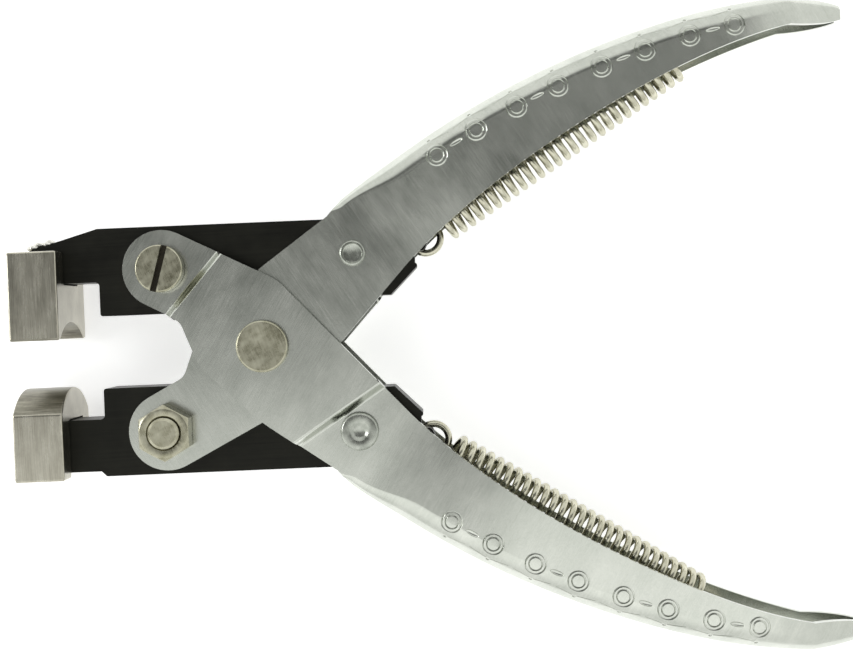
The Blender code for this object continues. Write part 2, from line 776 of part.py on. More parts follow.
def make_die(name, joint, points, neck_inner, turned_over):
    """A die block with the slot that takes its jaw's neck."""
    die = along_x(plate(name, points, DIE_FRONT, DIE_FRONT + DIE_LENGTH))
    half = BAR_THICKNESS / 2 + GAP
    rear = DIE_FRONT + DIE_LENGTH + CUT_MARGIN
    slot = box(name + "_slot", (NECK_END - GAP, neck_inner - GAP, -half),
               (rear, BAR_OUTER + CUT_MARGIN, half))
    as_part(die, joint, "bare_steel", turned_over)
    break_edges(die)
    boolean(die, as_cutter(slot, joint, turned_over))
    return die


def make_weld(name, joint, neck_outer, neck_root, turned_over):
    """A braze bead that lies on the neck's outer edge where it passes through the die."""
    slope = math.atan2(neck_root - neck_outer, BAR_FRONT - NECK_END)
    bm = bmesh.new()
    bmesh.ops.create_uvsphere(bm, u_segments=16, v_segments=10, radius=0.5)
    bmesh.ops.scale(bm, vec=WELD_SIZE, verts=bm.verts)
    cut = bmesh.ops.bisect_plane(
        bm, geom=bm.verts[:] + bm.edges[:] + bm.faces[:],
        plane_co=(0, WELD_FLAT_SHARE * WELD_SIZE.y, 0), plane_no=(0, 1, 0),
        clear_inner=True, dist=1e-7,
    )
    rim = [g for g in cut["geom_cut"] if isinstance(g, bmesh.types.BMEdge)]
    bmesh.ops.edgeloop_fill(bm, edges=rim)
    bmesh.ops.recalc_face_normals(bm, faces=bm.faces)
    bead = from_bmesh(name, bm)
    bead.data.transform(Matrix.Translation((WELD_SIZE.x / 2, GAP, 0)))
    bead.data.transform(Matrix.Rotation(slope, 4, "Z"))
    bead.data.transform(Matrix.Translation((NECK_END, neck_outer, 0)))
    weld = as_part(bead, joint, "braze", turned_over)
    shade_round(weld)
    return weld


# Fasteners


def place_at(obj, place, turned_over=False):
    """Moves a turned piece onto a pin's axis. Turned over, it also faces the other way."""
    if turned_over:
        obj.data.transform(OVER)
    obj.data.transform(Matrix.Translation(Vector((place[0], place[1], 0))))
    return obj


def make_pivot(joint):
    """The central rivet and the bush on it."""
    top = PIVOT_HEAD_FACE
    under = top - PIVOT_HEAD_HEIGHT
    upper = [(0, top), (PIVOT_HEAD - CHAMFER, top), (PIVOT_HEAD, top - CHAMFER),
             (PIVOT_HEAD, under), (PIVOT_SHANK, under)]
    profile = upper + [(radius, -height) for radius, height in reversed(upper)]
    rivet = as_part(fixed(turned("pivot_rivet", profile)), joint, "nickel")
    end = CHEEK_INSIDE - GAP
    bush = as_part(cylinder("pivot_bush", (0, 0), BUSH_RADIUS, -end, end), joint, "nickel")
    bore = cylinder("pivot_bush_bore", (0, 0), PIVOT_SHANK + RUNNING_GAP, -end - CUT_MARGIN,
                    end + CUT_MARGIN)
    boolean(bush, as_cutter(bore, joint))
    for piece in (rivet, bush):
        shade_round(piece)


def make_slide_rivet(name, joint, turned_over):
    """A rear rivet of the lower side: dimpled head above, formed end below."""
    head, end = FASTENER_SEAT + SLIDE_HEAD_HEIGHT, -FASTENER_SEAT - SLIDE_END_HEIGHT
    dimple = SLIDE_HEAD / 2
    small = SLIDE_END / 2
    profile = [
        (0, head - CHAMFER), (dimple - CHAMFER, head - CHAMFER), (dimple, head),
        (SLIDE_HEAD - CHAMFER, head), (SLIDE_HEAD, head - CHAMFER),
        (SLIDE_HEAD, FASTENER_SEAT), (SLIDE_SHANK, FASTENER_SEAT),
        (SLIDE_SHANK, -FASTENER_SEAT), (SLIDE_END, -FASTENER_SEAT),
        (SLIDE_END, end + CHAMFER), (SLIDE_END - CHAMFER, end), (small, end), (0, end + CHAMFER),
    ]
    rivet = fixed(turned(name, profile))
    place_at(rivet, (REAR_PIN.x, -REAR_PIN.y))
    as_part(rivet, joint, "nickel", turned_over)
    shade_round(rivet)


def make_jaw_screw(name, joint, turned_over):
    """A slotted screw through the lugs and the jaw bar, head above."""
    top = FASTENER_SEAT + SCREW_HEAD_HEIGHT
    end = -FASTENER_SEAT - NUT_HEIGHT - SCREW_END
    profile = [
        (0, top), (SCREW_HEAD - CHAMFER, top), (SCREW_HEAD, top - CHAMFER),
        (SCREW_HEAD, FASTENER_SEAT), (SCREW_SHANK, FASTENER_SEAT),
        (SCREW_SHANK, end + CHAMFER), (SCREW_SHANK - CHAMFER, end), (0, end),
    ]
    screw = fixed(turned(name, profile))
    slot = box(name + "_slot", -SCREW_SLOT / 2, SCREW_SLOT / 2)
    slot.data.transform(Matrix.Rotation(SCREW_SLOT_ANGLE, 4, "Z"))
    slot.data.transform(Matrix.Translation((0, 0, top)))
    place_at(slot, FRONT_PIN)
    as_part(place_at(screw, FRONT_PIN), joint, "nickel", turned_over)
    boolean(screw, as_cutter(slot, joint, turned_over))
    shade_round(screw)


def make_jaw_nut(name, joint, turned_over):
    """The hexagon nut under the lugs, with its outer corners chamfered."""
    radius = NUT_ACROSS_FLATS / 2 / math.cos(math.pi / 6)
    top, end = -FASTENER_SEAT, -FASTENER_SEAT - NUT_HEIGHT
    nut = cylinder(name, (0, 0), radius, end, top, 6)
    flat = NUT_ACROSS_FLATS / 2
    corner = radius - flat
    chamfer = fixed(turned(name + "_chamfer", [
        (0, top + CUT_MARGIN), (radius + corner, top + CUT_MARGIN), (radius + corner, end + corner),
        (flat - CHAMFER / 2, end), (0, end)]))
    bore = cylinder(name + "_bore", (0, 0), SCREW_SHANK + RUNNING_GAP, end - CUT_MARGIN,
                    top + CUT_MARGIN)
    as_part(place_at(nut, FRONT_PIN), joint, "nickel", turned_over)
    boolean(nut, as_cutter(place_at(chamfer, FRONT_PIN), joint, turned_over), "INTERSECT")
    boolean(nut, as_cutter(place_at(bore, FRONT_PIN), joint, turned_over))


# Springs


def spring_frame():
    """Axis and outward side vector of the upper spring, and its length between loop centres."""
    span = spring_rear() - SPRING_FRONT
    along = span.normalized()
    return along, Vector((-along.y, along.x, 0)), span.length


def make_spring(name, joint, turned_over):
    """The coil with its rear loop, which stands across the channel round the tongue."""
    along, out, length = spring_frame()
    rear = spring_rear()
    up = Vector((0, 0, 1))
    coil = length - 2 * LOOP_REACH
    count = COIL_TURNS * COIL_STEPS
    points = []
    for i in range(count + 1):
        turn = 2 * math.pi * i / COIL_STEPS
        centre = SPRING_FRONT + along * (LOOP_REACH + coil * i / count)
        points.append(centre + (out * math.cos(turn) + up * math.sin(turn)) * COIL_RADIUS)
    for degrees in range(-LOOP_HALF_TURN, LOOP_HALF_TURN + 1, LOOP_STEP):
        turn = math.radians(degrees)
        lift = out * COIL_RADIUS * max(0.0, -degrees / LOOP_LIFT_FROM - 1)
        ring = along * math.cos(turn) + up * math.sin(turn)
        points.append(rear + ring * COIL_RADIUS + lift)
    spring = as_part(wire(name, points, WIRE_RADIUS), joint, "spring_wire", turned_over)
    shade_round(spring)


def make_spring_hook(name, joint, turned_over):
    """The front loop, which lies in the tool's plane round the post in the jaw bar's tail."""
    along, out, _ = spring_frame()
    start = LOOP_REACH - 2 * WIRE_RADIUS - GAP
    points = [SPRING_FRONT + along * start + out * COIL_RADIUS]
    for degrees in range(HOOK_START, HOOK_END - 1, -HOOK_STEP):
        turn = math.radians(degrees)
        ring = along * math.cos(turn) + out * math.sin(turn)
        points.append(SPRING_FRONT + ring * COIL_RADIUS)
    hook = as_part(wire(name, points, WIRE_RADIUS), joint, "spring_wire", turned_over)
    shade_round(hook)


# Assembly


def mirrored(place):
    """The same place on the lower side."""
    return Vector((place[0], -place[1], -place[2]))


def build():
    """Builds every piece on its joint's empty."""
    tool = bpy.data.objects.new("tool", None)
    tool.location = (0, 0, PIVOT_HEAD_FACE)
    PARTS.objects.link(tool)
    pivot = new_joint("pivot_axis", tool, (0, 0, 0))
    upper_jaw = new_joint("upper_jaw_axis", tool, FRONT_PIN)
    lower_jaw = new_joint("lower_jaw_axis", tool, mirrored(FRONT_PIN))
    upper_spring = new_joint("upper_spring_axis", tool, spring_rear())
    lower_spring = new_joint("lower_spring_axis", tool, mirrored(spring_rear()))

    make_handle("lower_handle", pivot, False)
    make_handle("upper_handle", pivot, True)
    make_pivot(pivot)
    make_slide_rivet("lower_slide_rivet", pivot, False)
    make_slide_rivet("upper_slide_rivet", pivot, True)
    make_jaw_screw("upper_jaw_screw", pivot, False)
    make_jaw_nut("upper_jaw_nut", pivot, False)
    make_jaw_screw("lower_jaw_screw", pivot, True)
    make_jaw_nut("lower_jaw_nut", pivot, True)

    upper_neck = (UPPER_NECK_INNER, UPPER_NECK_OUTER, BAR_OUTER)
    lower_neck = (LOWER_NECK_INNER, LOWER_NECK_OUTER, LOWER_NECK_OUTER)
    make_jaw_bar("upper_jaw_bar", upper_jaw, upper_neck, False)
    make_jaw_bar("lower_jaw_bar", lower_jaw, lower_neck, True)
    upper_die = die_outline(UPPER_DIE_FACE, UPPER_DIE_BACK, groove_points())
    lower_die = die_outline(LOWER_DIE_FACE, LOWER_DIE_BACK, ridge_points())
    make_die("upper_die", upper_jaw, upper_die, UPPER_NECK_INNER, False)
    make_die("lower_die", lower_jaw, lower_die, LOWER_NECK_INNER, True)
    make_weld("upper_weld", upper_jaw, *upper_neck[1:], False)
    make_weld("lower_weld", lower_jaw, *lower_neck[1:], True)

    for side, joint in (("upper", upper_spring), ("lower", lower_spring)):
        make_spring(side + "_spring", joint, side == "lower")
        make_spring_hook(side + "_spring_hook", joint, side == "lower")


clear_scene()
PARTS = new_collection("parallel_action_forming_pliers")
CUTTERS = new_collection("cutters")
build()
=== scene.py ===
"""Looks for a pair of parallel-action forming pliers: the visible pieces, their finishes and the light.

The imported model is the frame. Each sub-assembly below is modelled afresh at the frame's pins and
stands for its CAD nodes. Shapes are drawn in the tool's own middle plane, with the pivot at the origin,
+X to the grips and +Y to the upper handle, and are then lifted to the pivot's height in the frame. Both
handles are one pressing: the upper one is the lower one turned half round about the X axis.
"""

import json
import logging
import math
from collections.abc import Callable, Iterator, Sequence
from contextlib import contextmanager
from dataclasses import dataclass, field
from enum import Enum

import bmesh
import bpy
from mathutils import Matrix, Vector, noise


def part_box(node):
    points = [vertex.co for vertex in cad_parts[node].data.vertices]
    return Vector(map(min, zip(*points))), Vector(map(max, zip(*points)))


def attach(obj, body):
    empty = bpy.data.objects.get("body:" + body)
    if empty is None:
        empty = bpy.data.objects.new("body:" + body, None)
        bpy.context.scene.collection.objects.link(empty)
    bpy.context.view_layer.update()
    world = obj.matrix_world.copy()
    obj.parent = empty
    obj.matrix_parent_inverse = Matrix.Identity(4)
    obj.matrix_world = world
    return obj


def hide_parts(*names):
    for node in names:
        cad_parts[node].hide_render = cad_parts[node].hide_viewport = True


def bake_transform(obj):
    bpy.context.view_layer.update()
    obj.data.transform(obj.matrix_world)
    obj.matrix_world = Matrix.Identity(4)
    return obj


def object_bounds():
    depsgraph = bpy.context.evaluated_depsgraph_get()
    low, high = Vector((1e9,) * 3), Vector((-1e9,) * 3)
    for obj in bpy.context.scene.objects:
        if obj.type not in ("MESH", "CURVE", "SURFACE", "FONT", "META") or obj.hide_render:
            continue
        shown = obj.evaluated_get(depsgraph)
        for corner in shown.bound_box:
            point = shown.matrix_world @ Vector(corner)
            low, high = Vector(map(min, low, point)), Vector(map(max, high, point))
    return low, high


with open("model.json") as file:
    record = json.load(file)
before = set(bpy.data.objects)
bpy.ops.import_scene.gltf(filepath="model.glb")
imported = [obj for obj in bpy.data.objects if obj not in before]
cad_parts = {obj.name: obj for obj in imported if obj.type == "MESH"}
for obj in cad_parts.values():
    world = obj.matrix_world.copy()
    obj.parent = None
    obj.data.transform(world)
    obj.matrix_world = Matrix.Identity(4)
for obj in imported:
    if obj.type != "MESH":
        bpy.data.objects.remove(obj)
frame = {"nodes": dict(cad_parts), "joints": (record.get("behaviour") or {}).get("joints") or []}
CAD_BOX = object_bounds()

LOG = logging.getLogger("pliers")
MM = 0.001
TURNED_OVER = Matrix.Rotation(math.pi, 4, "X")

Flat = tuple[float, float]
Corner = tuple[float, float, float]
Object, Face, Material = bpy.types.Object, bpy.types.MeshPolygon, bpy.types.Material
Tree, Node, Socket = bpy.types.NodeTree, bpy.types.Node, bpy.types.NodeSocket
Layers = tuple[Socket, Socket, Socket, float]


def mm(*sizes: float) -> Vector:
    """A vector whose sizes are given in millimetres."""
    return Vector(sizes) * MM


class Side(Enum):
    """The tool's two sides."""

    UPPER = "upper"
    LOWER = "lower"


# ---- Finishes ----


def linear(hex_colour: str) -> tuple[float, float, float, float]:
    """Turns an sRGB hex colour into linear RGBA.

    Args:
        hex_colour: Six hex digits, with or without a leading #.

    Returns:
        The linear colour, with an alpha of 1.
    """
    digits = hex_colour.lstrip("#")
    shares = [int(digits[i : i + 2], 16) / 255 for i in (0, 2, 4)]
    return (*(s / 12.92 if s <= 0.04045 else ((s + 0.055) / 1.055) ** 2.4 for s in shares), 1.0)


def add_node(tree: Tree, kind: str, inputs: dict | None = None, **settings) -> Node:
    """Adds a node with its settings, values and links.

    Args:
        tree: The node tree.
        kind: The node's type name.
        inputs: Input name or index to a value, or to the output socket that feeds it.
        **settings: Properties of the node.

    Returns:
        The new node.
    """
    node = tree.nodes.new(kind)
    for name, value in settings.items():
        setattr(node, name, value)
    for name, value in (inputs or {}).items():
        if isinstance(value, Socket):
            tree.links.new(value, node.inputs[name])
        else:
            node.inputs[name].default_value = value
    return node


def ramp(tree: Tree, factor: Socket, stops: Sequence[tuple[float, object]]):
    """Adds a colour ramp.

    Args:
        tree: The node tree.
        factor: The socket that drives the ramp.
        stops: (place, colour) pairs, where a colour is RGBA or one grey number.

    Returns:
        The ramp's colour output.
    """
    node = add_node(tree, "ShaderNodeValToRGB", {"Fac": factor})
    elements = node.color_ramp.elements
    while len(elements) < len(stops):
        elements.new(0.5)
    for element, (place, colour) in zip(elements, stops):
        element.position = place
        element.color = colour if isinstance(colour, tuple) else (colour, colour, colour, 1.0)
    return node.outputs["Color"]


@dataclass(frozen=True)
class Finish:
    """What every finish has: a name, two sRGB colours and a roughness range."""

    name: str
    dark: str
    light: str
    smooth: float
    rough: float
    metallic: float = 1.0

    def layers(self, tree: Tree) -> Layers:
        """Adds the finish's patterns. Returns its tone, sheen and height, and the height's real depth."""
        raise NotImplementedError

    def build(self) -> Material:
        """Makes the material."""
        material = bpy.data.materials.new(self.name)
        material.use_nodes = True
        tree = material.node_tree
        shader = tree.nodes["Principled BSDF"]
        shader.inputs["Metallic"].default_value = self.metallic
        self.dress(tree, shader, *self.layers(tree))
        return material

    def grain(self, tree: Tree, size: Vector, turn: float = 0.0, detail: float = 3.0,
              centre: Vector = Vector((0, 0, 0))) -> Socket:
        """Adds a noise whose grains have a real size.

        Args:
            tree: The node tree.
            size: Length of a grain along each axis, in metres.
            turn: Angle of the grain's own X axis in the tool's plane.
            detail: Octaves of the noise.
            centre: Point that the pattern is turned about.

        Returns:
            The noise's value output.
        """
        place = add_node(tree, "ShaderNodeTexCoord").outputs["Object"]
        centred = add_node(tree, "ShaderNodeMapping", {"Vector": place, "Location": -centre})
        turned = add_node(tree, "ShaderNodeMapping", {
            "Vector": centred.outputs[0], "Rotation": (0, 0, -turn)})
        scaled = add_node(tree, "ShaderNodeMapping", {
            "Vector": turned.outputs[0], "Scale": (1 / size.x, 1 / size.y, 1 / size.z)})
        return add_node(tree, "ShaderNodeTexNoise", {
            "Vector": scaled.outputs[0], "Scale": 1.0, "Detail": detail, "Roughness": 0.6,
        }).outputs[0]

    def mix(self, tree: Tree, *parts: tuple[Socket, float]) -> Socket:
        """Adds weighted values together and returns the sum's socket."""
        total = None
        for socket, weight in parts:
            scaled = add_node(tree, "ShaderNodeMath", {0: socket, 1: weight}, operation="MULTIPLY").outputs[0]
            total = scaled if total is None else add_node(
                tree, "ShaderNodeMath", {0: total, 1: scaled}, operation="ADD").outputs[0]
        return total

    def dress(self, tree: Tree, shader: Node, tone: Socket,
              sheen: Socket, height: Socket, depth: float) -> None:
        """Feeds the shader's colour, roughness and bump.

        Args:
            tree: The node tree.
            shader: The Principled node.
            tone: Value around 0.5 that goes from the dark to the light colour.
            sheen: Value around 0.5 that goes from smooth to rough.
            height: Value that the bump reads.
            depth: Real depth of the bump in metres.
        """
        colour = ramp(tree, tone, [(0.28, linear(self.dark)), (0.72, linear(self.light))])
        roughness = add_node(tree, "ShaderNodeMapRange", {
            "Value": sheen, "From Min": 0.25, "From Max": 0.75, "To Min": self.smooth, "To Max": self.rough})
        bump = add_node(tree, "ShaderNodeBump", {"Height": height, "Distance": depth, "Strength": 1.0})
        tree.links.new(colour, shader.inputs["Base Color"])
        tree.links.new(roughness.outputs[0], shader.inputs["Roughness"])
        tree.links.new(bump.outputs[0], shader.inputs["Normal"])


@dataclass(frozen=True)
class PlatedPressing(Finish):
    """Nickel-plated cold-rolled steel sheet.

    The blank was brushed across its length before it was pressed and plated, so the plate is satin,
    with fine cross lines, soft cloudy patches from the press and a few handling scratches.
    """

    brush_angle: float = 0.0

    def layers(self, tree: Tree) -> Layers:
        """Adds the finish's patterns."""
        brushing = self.grain(tree, mm(6.0, 0.16, 3.0), self.brush_angle, 4.0)
        clouds = self.grain(tree, mm(9.0, 6.0, 7.0), self.brush_angle, 4.0)
        pits = self.grain(tree, mm(0.45, 0.45, 0.45), 0.0, 2.0)
        scratch = self.grain(tree, mm(4.0, 0.12, 2.0), self.brush_angle + 0.9, 1.0)
        marks = ramp(tree, scratch, [(0.74, 0.0), (0.80, 1.0)])
        tone = self.mix(tree, (clouds, 0.55), (brushing, 0.30), (pits, 0.15))
        sheen = self.mix(tree, (clouds, 0.5), (brushing, 0.5))
        height = self.mix(tree, (brushing, 0.6), (pits, 0.35), (marks, -0.25))
        return tone, sheen, height, 0.004 * MM


@dataclass(frozen=True)
class BlackOxideSteel(Finish):
    """Machined steel with a hot black-oxide coat.

    The coat is thin and slightly glossy with oil, so faint milling lines along the bar show through,
    and it has fine pale specks.
    """

    def layers(self, tree: Tree) -> Layers:
        """Adds the finish's patterns."""
        milling = self.grain(tree, mm(14.0, 0.3, 6.0), 0.02, 2.0)
        clouds = self.grain(tree, mm(8.0, 8.0, 8.0), 0.0, 3.0)
        dust = ramp(tree, self.grain(tree, mm(0.3, 0.3, 0.3), 0.0, 1.0),
                    [(0.72, 0.0), (0.80, 1.0)])
        tone = self.mix(tree, (clouds, 0.6), (milling, 0.4), (dust, 0.5))
        sheen = self.mix(tree, (clouds, 0.6), (milling, 0.4))
        return tone, sheen, milling, 0.01 * MM


@dataclass(frozen=True)
class GroundSteel(Finish):
    """Bare tool steel, ground by a wheel.

    The grinding lines all run one way and are uneven in depth. Where the tool works against the
    sheet they are stained darker along the line of travel.
    """

    line: Vector = field(default_factory=lambda: Vector((0.16, 9.0, 5.0)))
    stain: Vector = field(default_factory=lambda: Vector((2.2, 7.0, 9.0)))

    def layers(self, tree: Tree) -> Layers:
        """Adds the finish's patterns."""
        lines = self.grain(tree, self.line * MM, 0.02, 4.0)
        stains = self.grain(tree, self.stain * MM, 0.0, 3.0)
        pits = self.grain(tree, mm(0.5, 0.5, 0.5), 0.0, 2.0)
        tone = self.mix(tree, (lines, 0.45), (stains, 0.45), (pits, 0.10))
        sheen = self.mix(tree, (lines, 0.5), (stains, 0.5))
        return tone, sheen, lines, 0.007 * MM


@dataclass(frozen=True)
class TurnedNickel(Finish):
    """Nickel-plated steel fastener with a turned face.

    The lathe leaves rings about 0.3 mm apart round the axis, under a warm plate with a few dull
    patches where a driver or a punch has touched it.
    """

    centre: Vector = field(default_factory=lambda: Vector((0, 0, 0)))
    rings: float = 0.35

    def layers(self, tree: Tree) -> Layers:
        """Adds the finish's patterns."""
        place = add_node(tree, "ShaderNodeTexCoord").outputs["Object"]
        centred = add_node(tree, "ShaderNodeMapping", {"Vector": place, "Location": -self.centre})
        spread = 1 / (2 * math.pi * 0.32 * MM) * 0.5
        turning = add_node(tree, "ShaderNodeTexWave", {
            "Vector": centred.outputs[0], "Scale": spread, "Distortion": 0.6, "Detail": 1.0,
        }, wave_type="RINGS", rings_direction="Z").outputs["Fac"]
        patches = self.grain(tree, mm(2.6, 1.8, 2.2), 0.5, 2.0)
        fine = self.grain(tree, mm(0.25, 2.4, 2.4), 0.35, 3.0)
        tone = self.mix(tree, (patches, 0.7), (fine, 0.3))
        sheen = self.mix(tree, (patches, 0.6), (fine, 0.4))
        height = self.mix(tree, (turning, self.rings * 0.25), (fine, 0.35), (patches, 0.2))
        return tone, sheen, height, 0.01 * MM


@dataclass(frozen=True)
class DrawnWire(Finish):
    """Hard-drawn spring wire with a warm plate; the die leaves it nearly polished, with faint draw lines."""

    def layers(self, tree: Tree) -> Layers:
        """Adds the finish's patterns."""
        patches = self.grain(tree, mm(1.6, 1.6, 1.6), 0.0, 3.0)
        lines = self.grain(tree, mm(0.2, 0.2, 0.2), 0.0, 2.0)
        tone = self.mix(tree, (patches, 0.7), (lines, 0.3))
        return tone, tone, lines, 0.008 * MM


@dataclass(frozen=True)
class SilverBraze(Finish):
    """Silver braze that froze as it ran: bright, with a fine grainy skin."""

    def layers(self, tree: Tree) -> Layers:
        """Adds the finish's patterns."""
        lumps = self.grain(tree, mm(0.7, 0.7, 0.7), 0.0, 4.0)
        return lumps, lumps, lumps, 0.08 * MM


# ---- Modelling tools ----


def deselect() -> None:
    """Leaves no object selected."""
    bpy.ops.object.select_all(action="DESELECT")


def activate(obj: Object) -> None:
    """Selects one object alone and makes it active."""
    deselect()
    obj.select_set(True)
    bpy.context.view_layer.objects.active = obj


def take_all() -> None:
    """Selects the whole of the mesh in edit mode."""
    bpy.ops.mesh.select_all(action="SELECT")


def extrude(by: Sequence[float]) -> None:
    """Extrudes what is selected along a vector."""
    bpy.ops.mesh.extrude_region_move(TRANSFORM_OT_translate={"value": by})


@contextmanager
def editing(obj: Object, elements: str = "VERT") -> Iterator[None]:
    """Opens an object in edit mode with nothing selected, and closes it afterwards."""
    activate(obj)
    bpy.ops.object.mode_set(mode="EDIT")
    bpy.ops.mesh.select_mode(type=elements)
    bpy.ops.mesh.select_all(action="DESELECT")
    try:
        yield
    finally:
        bpy.ops.object.mode_set(mode="OBJECT")


def pick(obj: Object, elements: str, wanted: Callable) -> int:
    """Selects the elements of an edited mesh that a test picks out.

    Args:
        obj: The object in edit mode.
        elements: "verts", "edges" or "faces".
        wanted: Test of one bmesh element.

    Returns:
        How many were selected.
    """
    bpy.ops.mesh.select_all(action="DESELECT")
    mesh = bmesh.from_edit_mesh(obj.data)
    chosen = [element for element in getattr(mesh, elements) if wanted(element)]
    for element in chosen:
        element.select_set(True)
    mesh.select_flush_mode()
    bmesh.update_edit_mesh(obj.data)
    return len(chosen)


def tidy_normals(obj: Object) -> None:
    """Merges doubles and points every face outwards."""
    with editing(obj):
        take_all()
        bpy.ops.mesh.remove_doubles(threshold=0.002 * MM)
        bpy.ops.mesh.normals_make_consistent(inside=False)


def primitive(kind: str, scale: Sequence[float] = (1, 1, 1), **settings) -> Object:
    """Adds one of Blender's solids, with its place, turn and scale settled into its mesh."""
    deselect()
    getattr(bpy.ops.mesh, f"primitive_{kind}_add")(**settings)
    obj = bpy.context.object
    obj.scale = scale
    settle(obj)
    return obj


def trace(name: str, points: Sequence[Vector], closed: bool = False) -> Object:
    """Draws a line through points by extruding one vertex from each to the next.

    Args:
        name: Name of the new object.
        points: The places in order.
        closed: Whether the line is filled as a face.

    Returns:
        The new object.
    """
    obj = primitive("plane", size=MM)
    obj.name = name
    with editing(obj):
        take_all()
        bpy.ops.mesh.merge(type="CENTER")
        bpy.ops.transform.translate(value=points[0])
        for here, there in zip(points, points[1:]):
            extrude(there - here)
        if closed:
            take_all()
            bpy.ops.mesh.edge_face_add()
    return obj


def plate(name: str, outline: Sequence[Flat], low: float, high: float) -> Object:
    """Extrudes a flat outline in XY between two heights."""
    obj = trace(name, [Vector((x, y, low)) for x, y in outline], closed=True)
    with editing(obj):
        take_all()
        extrude((0, 0, high - low))
    tidy_normals(obj)
    return obj


def lathe(name: str, profile: Sequence[Flat], centre: Vector, steps: int = 72) -> Object:
    """Spins a (radius, height) profile round a vertical axis through a point."""
    points = [Vector((centre.x + radius, centre.y, height)) for radius, height in profile]
    obj = trace(name, points)
    with editing(obj):
        take_all()
        bpy.ops.mesh.spin(steps=steps, angle=2 * math.pi, center=(centre.x, centre.y, 0), axis=(0, 0, 1))
    tidy_normals(obj)
    return obj


def block(name: str, low: Vector, high: Vector) -> Object:
    """A cutter's plain box between two corners."""
    obj = primitive("cube", high - low, size=1, location=(low + high) / 2)
    obj.name = name
    return obj


def drum(name: str, centre: Vector, radius: float, low: float, high: float) -> Object:
    """A cutter's plain cylinder along Z."""
    obj = primitive("cylinder", vertices=72, radius=radius, depth=high - low,
                    location=(centre.x, centre.y, (low + high) / 2))
    obj.name = name
    return obj


def settle(obj: Object) -> None:
    """Moves an object's place, turn and scale into its mesh."""
    activate(obj)
    bpy.ops.object.transform_apply(location=True, rotation=True, scale=True)


def turn_about(obj: Object, angle: float, axis: str, centre: Vector) -> None:
    """Turns an object's mesh about a point."""
    back, turn, away = Matrix.Translation(centre), Matrix.Rotation(angle, 4, axis), Matrix.Translation(-centre)
    obj.data.transform(back @ turn @ away)


def apply_modifier(obj: Object, kind: str, **settings) -> None:
    """Adds a modifier with its settings and applies it."""
    modifier = obj.modifiers.new(kind.lower(), kind)
    for name, value in settings.items():
        setattr(modifier, name, value)
    activate(obj)
    bpy.ops.object.modifier_apply(modifier=modifier.name)


def carve(obj: Object, cutter: Object, operation: str = "DIFFERENCE") -> None:
    """Cuts, joins or intersects with another object, which is used up."""
    apply_modifier(obj, "BOOLEAN", object=cutter, operation=operation, solver="EXACT")
    bpy.data.objects.remove(cutter, do_unlink=True)


def join(objects: Sequence[Object]) -> Object:
    """Joins objects into the first one."""
    activate(objects[0])
    for obj in objects[1:]:
        obj.select_set(True)
    bpy.ops.object.join()
    return objects[0]


def bring_in(obj: Object) -> None:
    """Links an object into the scene."""
    bpy.context.scene.collection.objects.link(obj)


def copy_of(obj: Object, name: str) -> Object:
    """A copy with a mesh of its own."""
    twin = obj.copy()
    twin.data = obj.data.copy()
    twin.name = name
    bring_in(twin)
    return twin


def soften(obj: Object, width: float, segments: int = 3, angle: float = 35.0,
           clamp: bool = True) -> None:
    """Rounds every edge sharper than an angle, held back by short edges where clamp is set."""
    apply_modifier(obj, "BEVEL", width=width, segments=segments, limit_method="ANGLE",
                   angle_limit=math.radians(angle), use_clamp_overlap=clamp)


def shade(obj: Object, angle: float = 32.0) -> None:
    """Smooth shading that keeps real edges, with large faces flat."""
    activate(obj)
    bpy.ops.object.shade_smooth_by_angle(angle=math.radians(angle))
    apply_modifier(obj, "WEIGHTED_NORMAL", mode="FACE_AREA", weight=50, keep_sharp=True)


def arc(centre: Flat, radius: float, start: float, end: float, step: float = 6.0) -> list[Flat]:
    """Points along an arc, both ends included, a step in degrees apart."""
    count = max(2, math.ceil(abs(end - start) / math.radians(step)))
    angles = [start + (end - start) * i / count for i in range(count + 1)]
    return [(centre[0] + radius * math.cos(a), centre[1] + radius * math.sin(a)) for a in angles]


def rounded(before: Flat, corner: Flat, after: Flat, radius: float) -> list[Flat]:
    """Points of the arc that rounds one corner between its two neighbours."""
    here = Vector(corner)
    back = (Vector(before) - here).normalized()
    ahead = (Vector(after) - here).normalized()
    half = back.angle(ahead) / 2
    reach = radius / math.tan(half)
    centre = here + (back + ahead).normalized() * (radius / math.sin(half))
    first = here + back * reach - centre
    last = here + ahead * reach - centre
    start = math.atan2(first.y, first.x)
    turn = (math.atan2(last.y, last.x) - start + math.pi) % (2 * math.pi) - math.pi
    return arc(tuple(centre), radius, start, start + turn, 12.0)


def outline(corners: Sequence[Corner], closed: bool = True) -> list[Flat]:
    """Points of a path through (x, y, radius) corners, with each radius drawn as an arc."""
    points: list[Flat] = []
    for i, (x, y, radius) in enumerate(corners):
        if radius == 0 or (not closed and i in (0, len(corners) - 1)):
            points.append((x, y))
            continue
        before, after = corners[i - 1], corners[(i + 1) % len(corners)]
        points += rounded(before[:2], (x, y), after[:2], radius)
    return points


def smooth_step(share: float) -> float:
    """Eases a share between 0 and 1 at both ends."""
    share = min(1.0, max(0.0, share))
    return share * share * (3 - 2 * share)


def bezier(points: Sequence[Vector], t: float) -> Vector:
    """Point of a cubic curve."""
    s = 1 - t
    return points[0] * s**3 + points[1] * 3 * s * s * t + points[2] * 3 * s * t * t + points[3] * t**3


# ---- The tool's frame ----


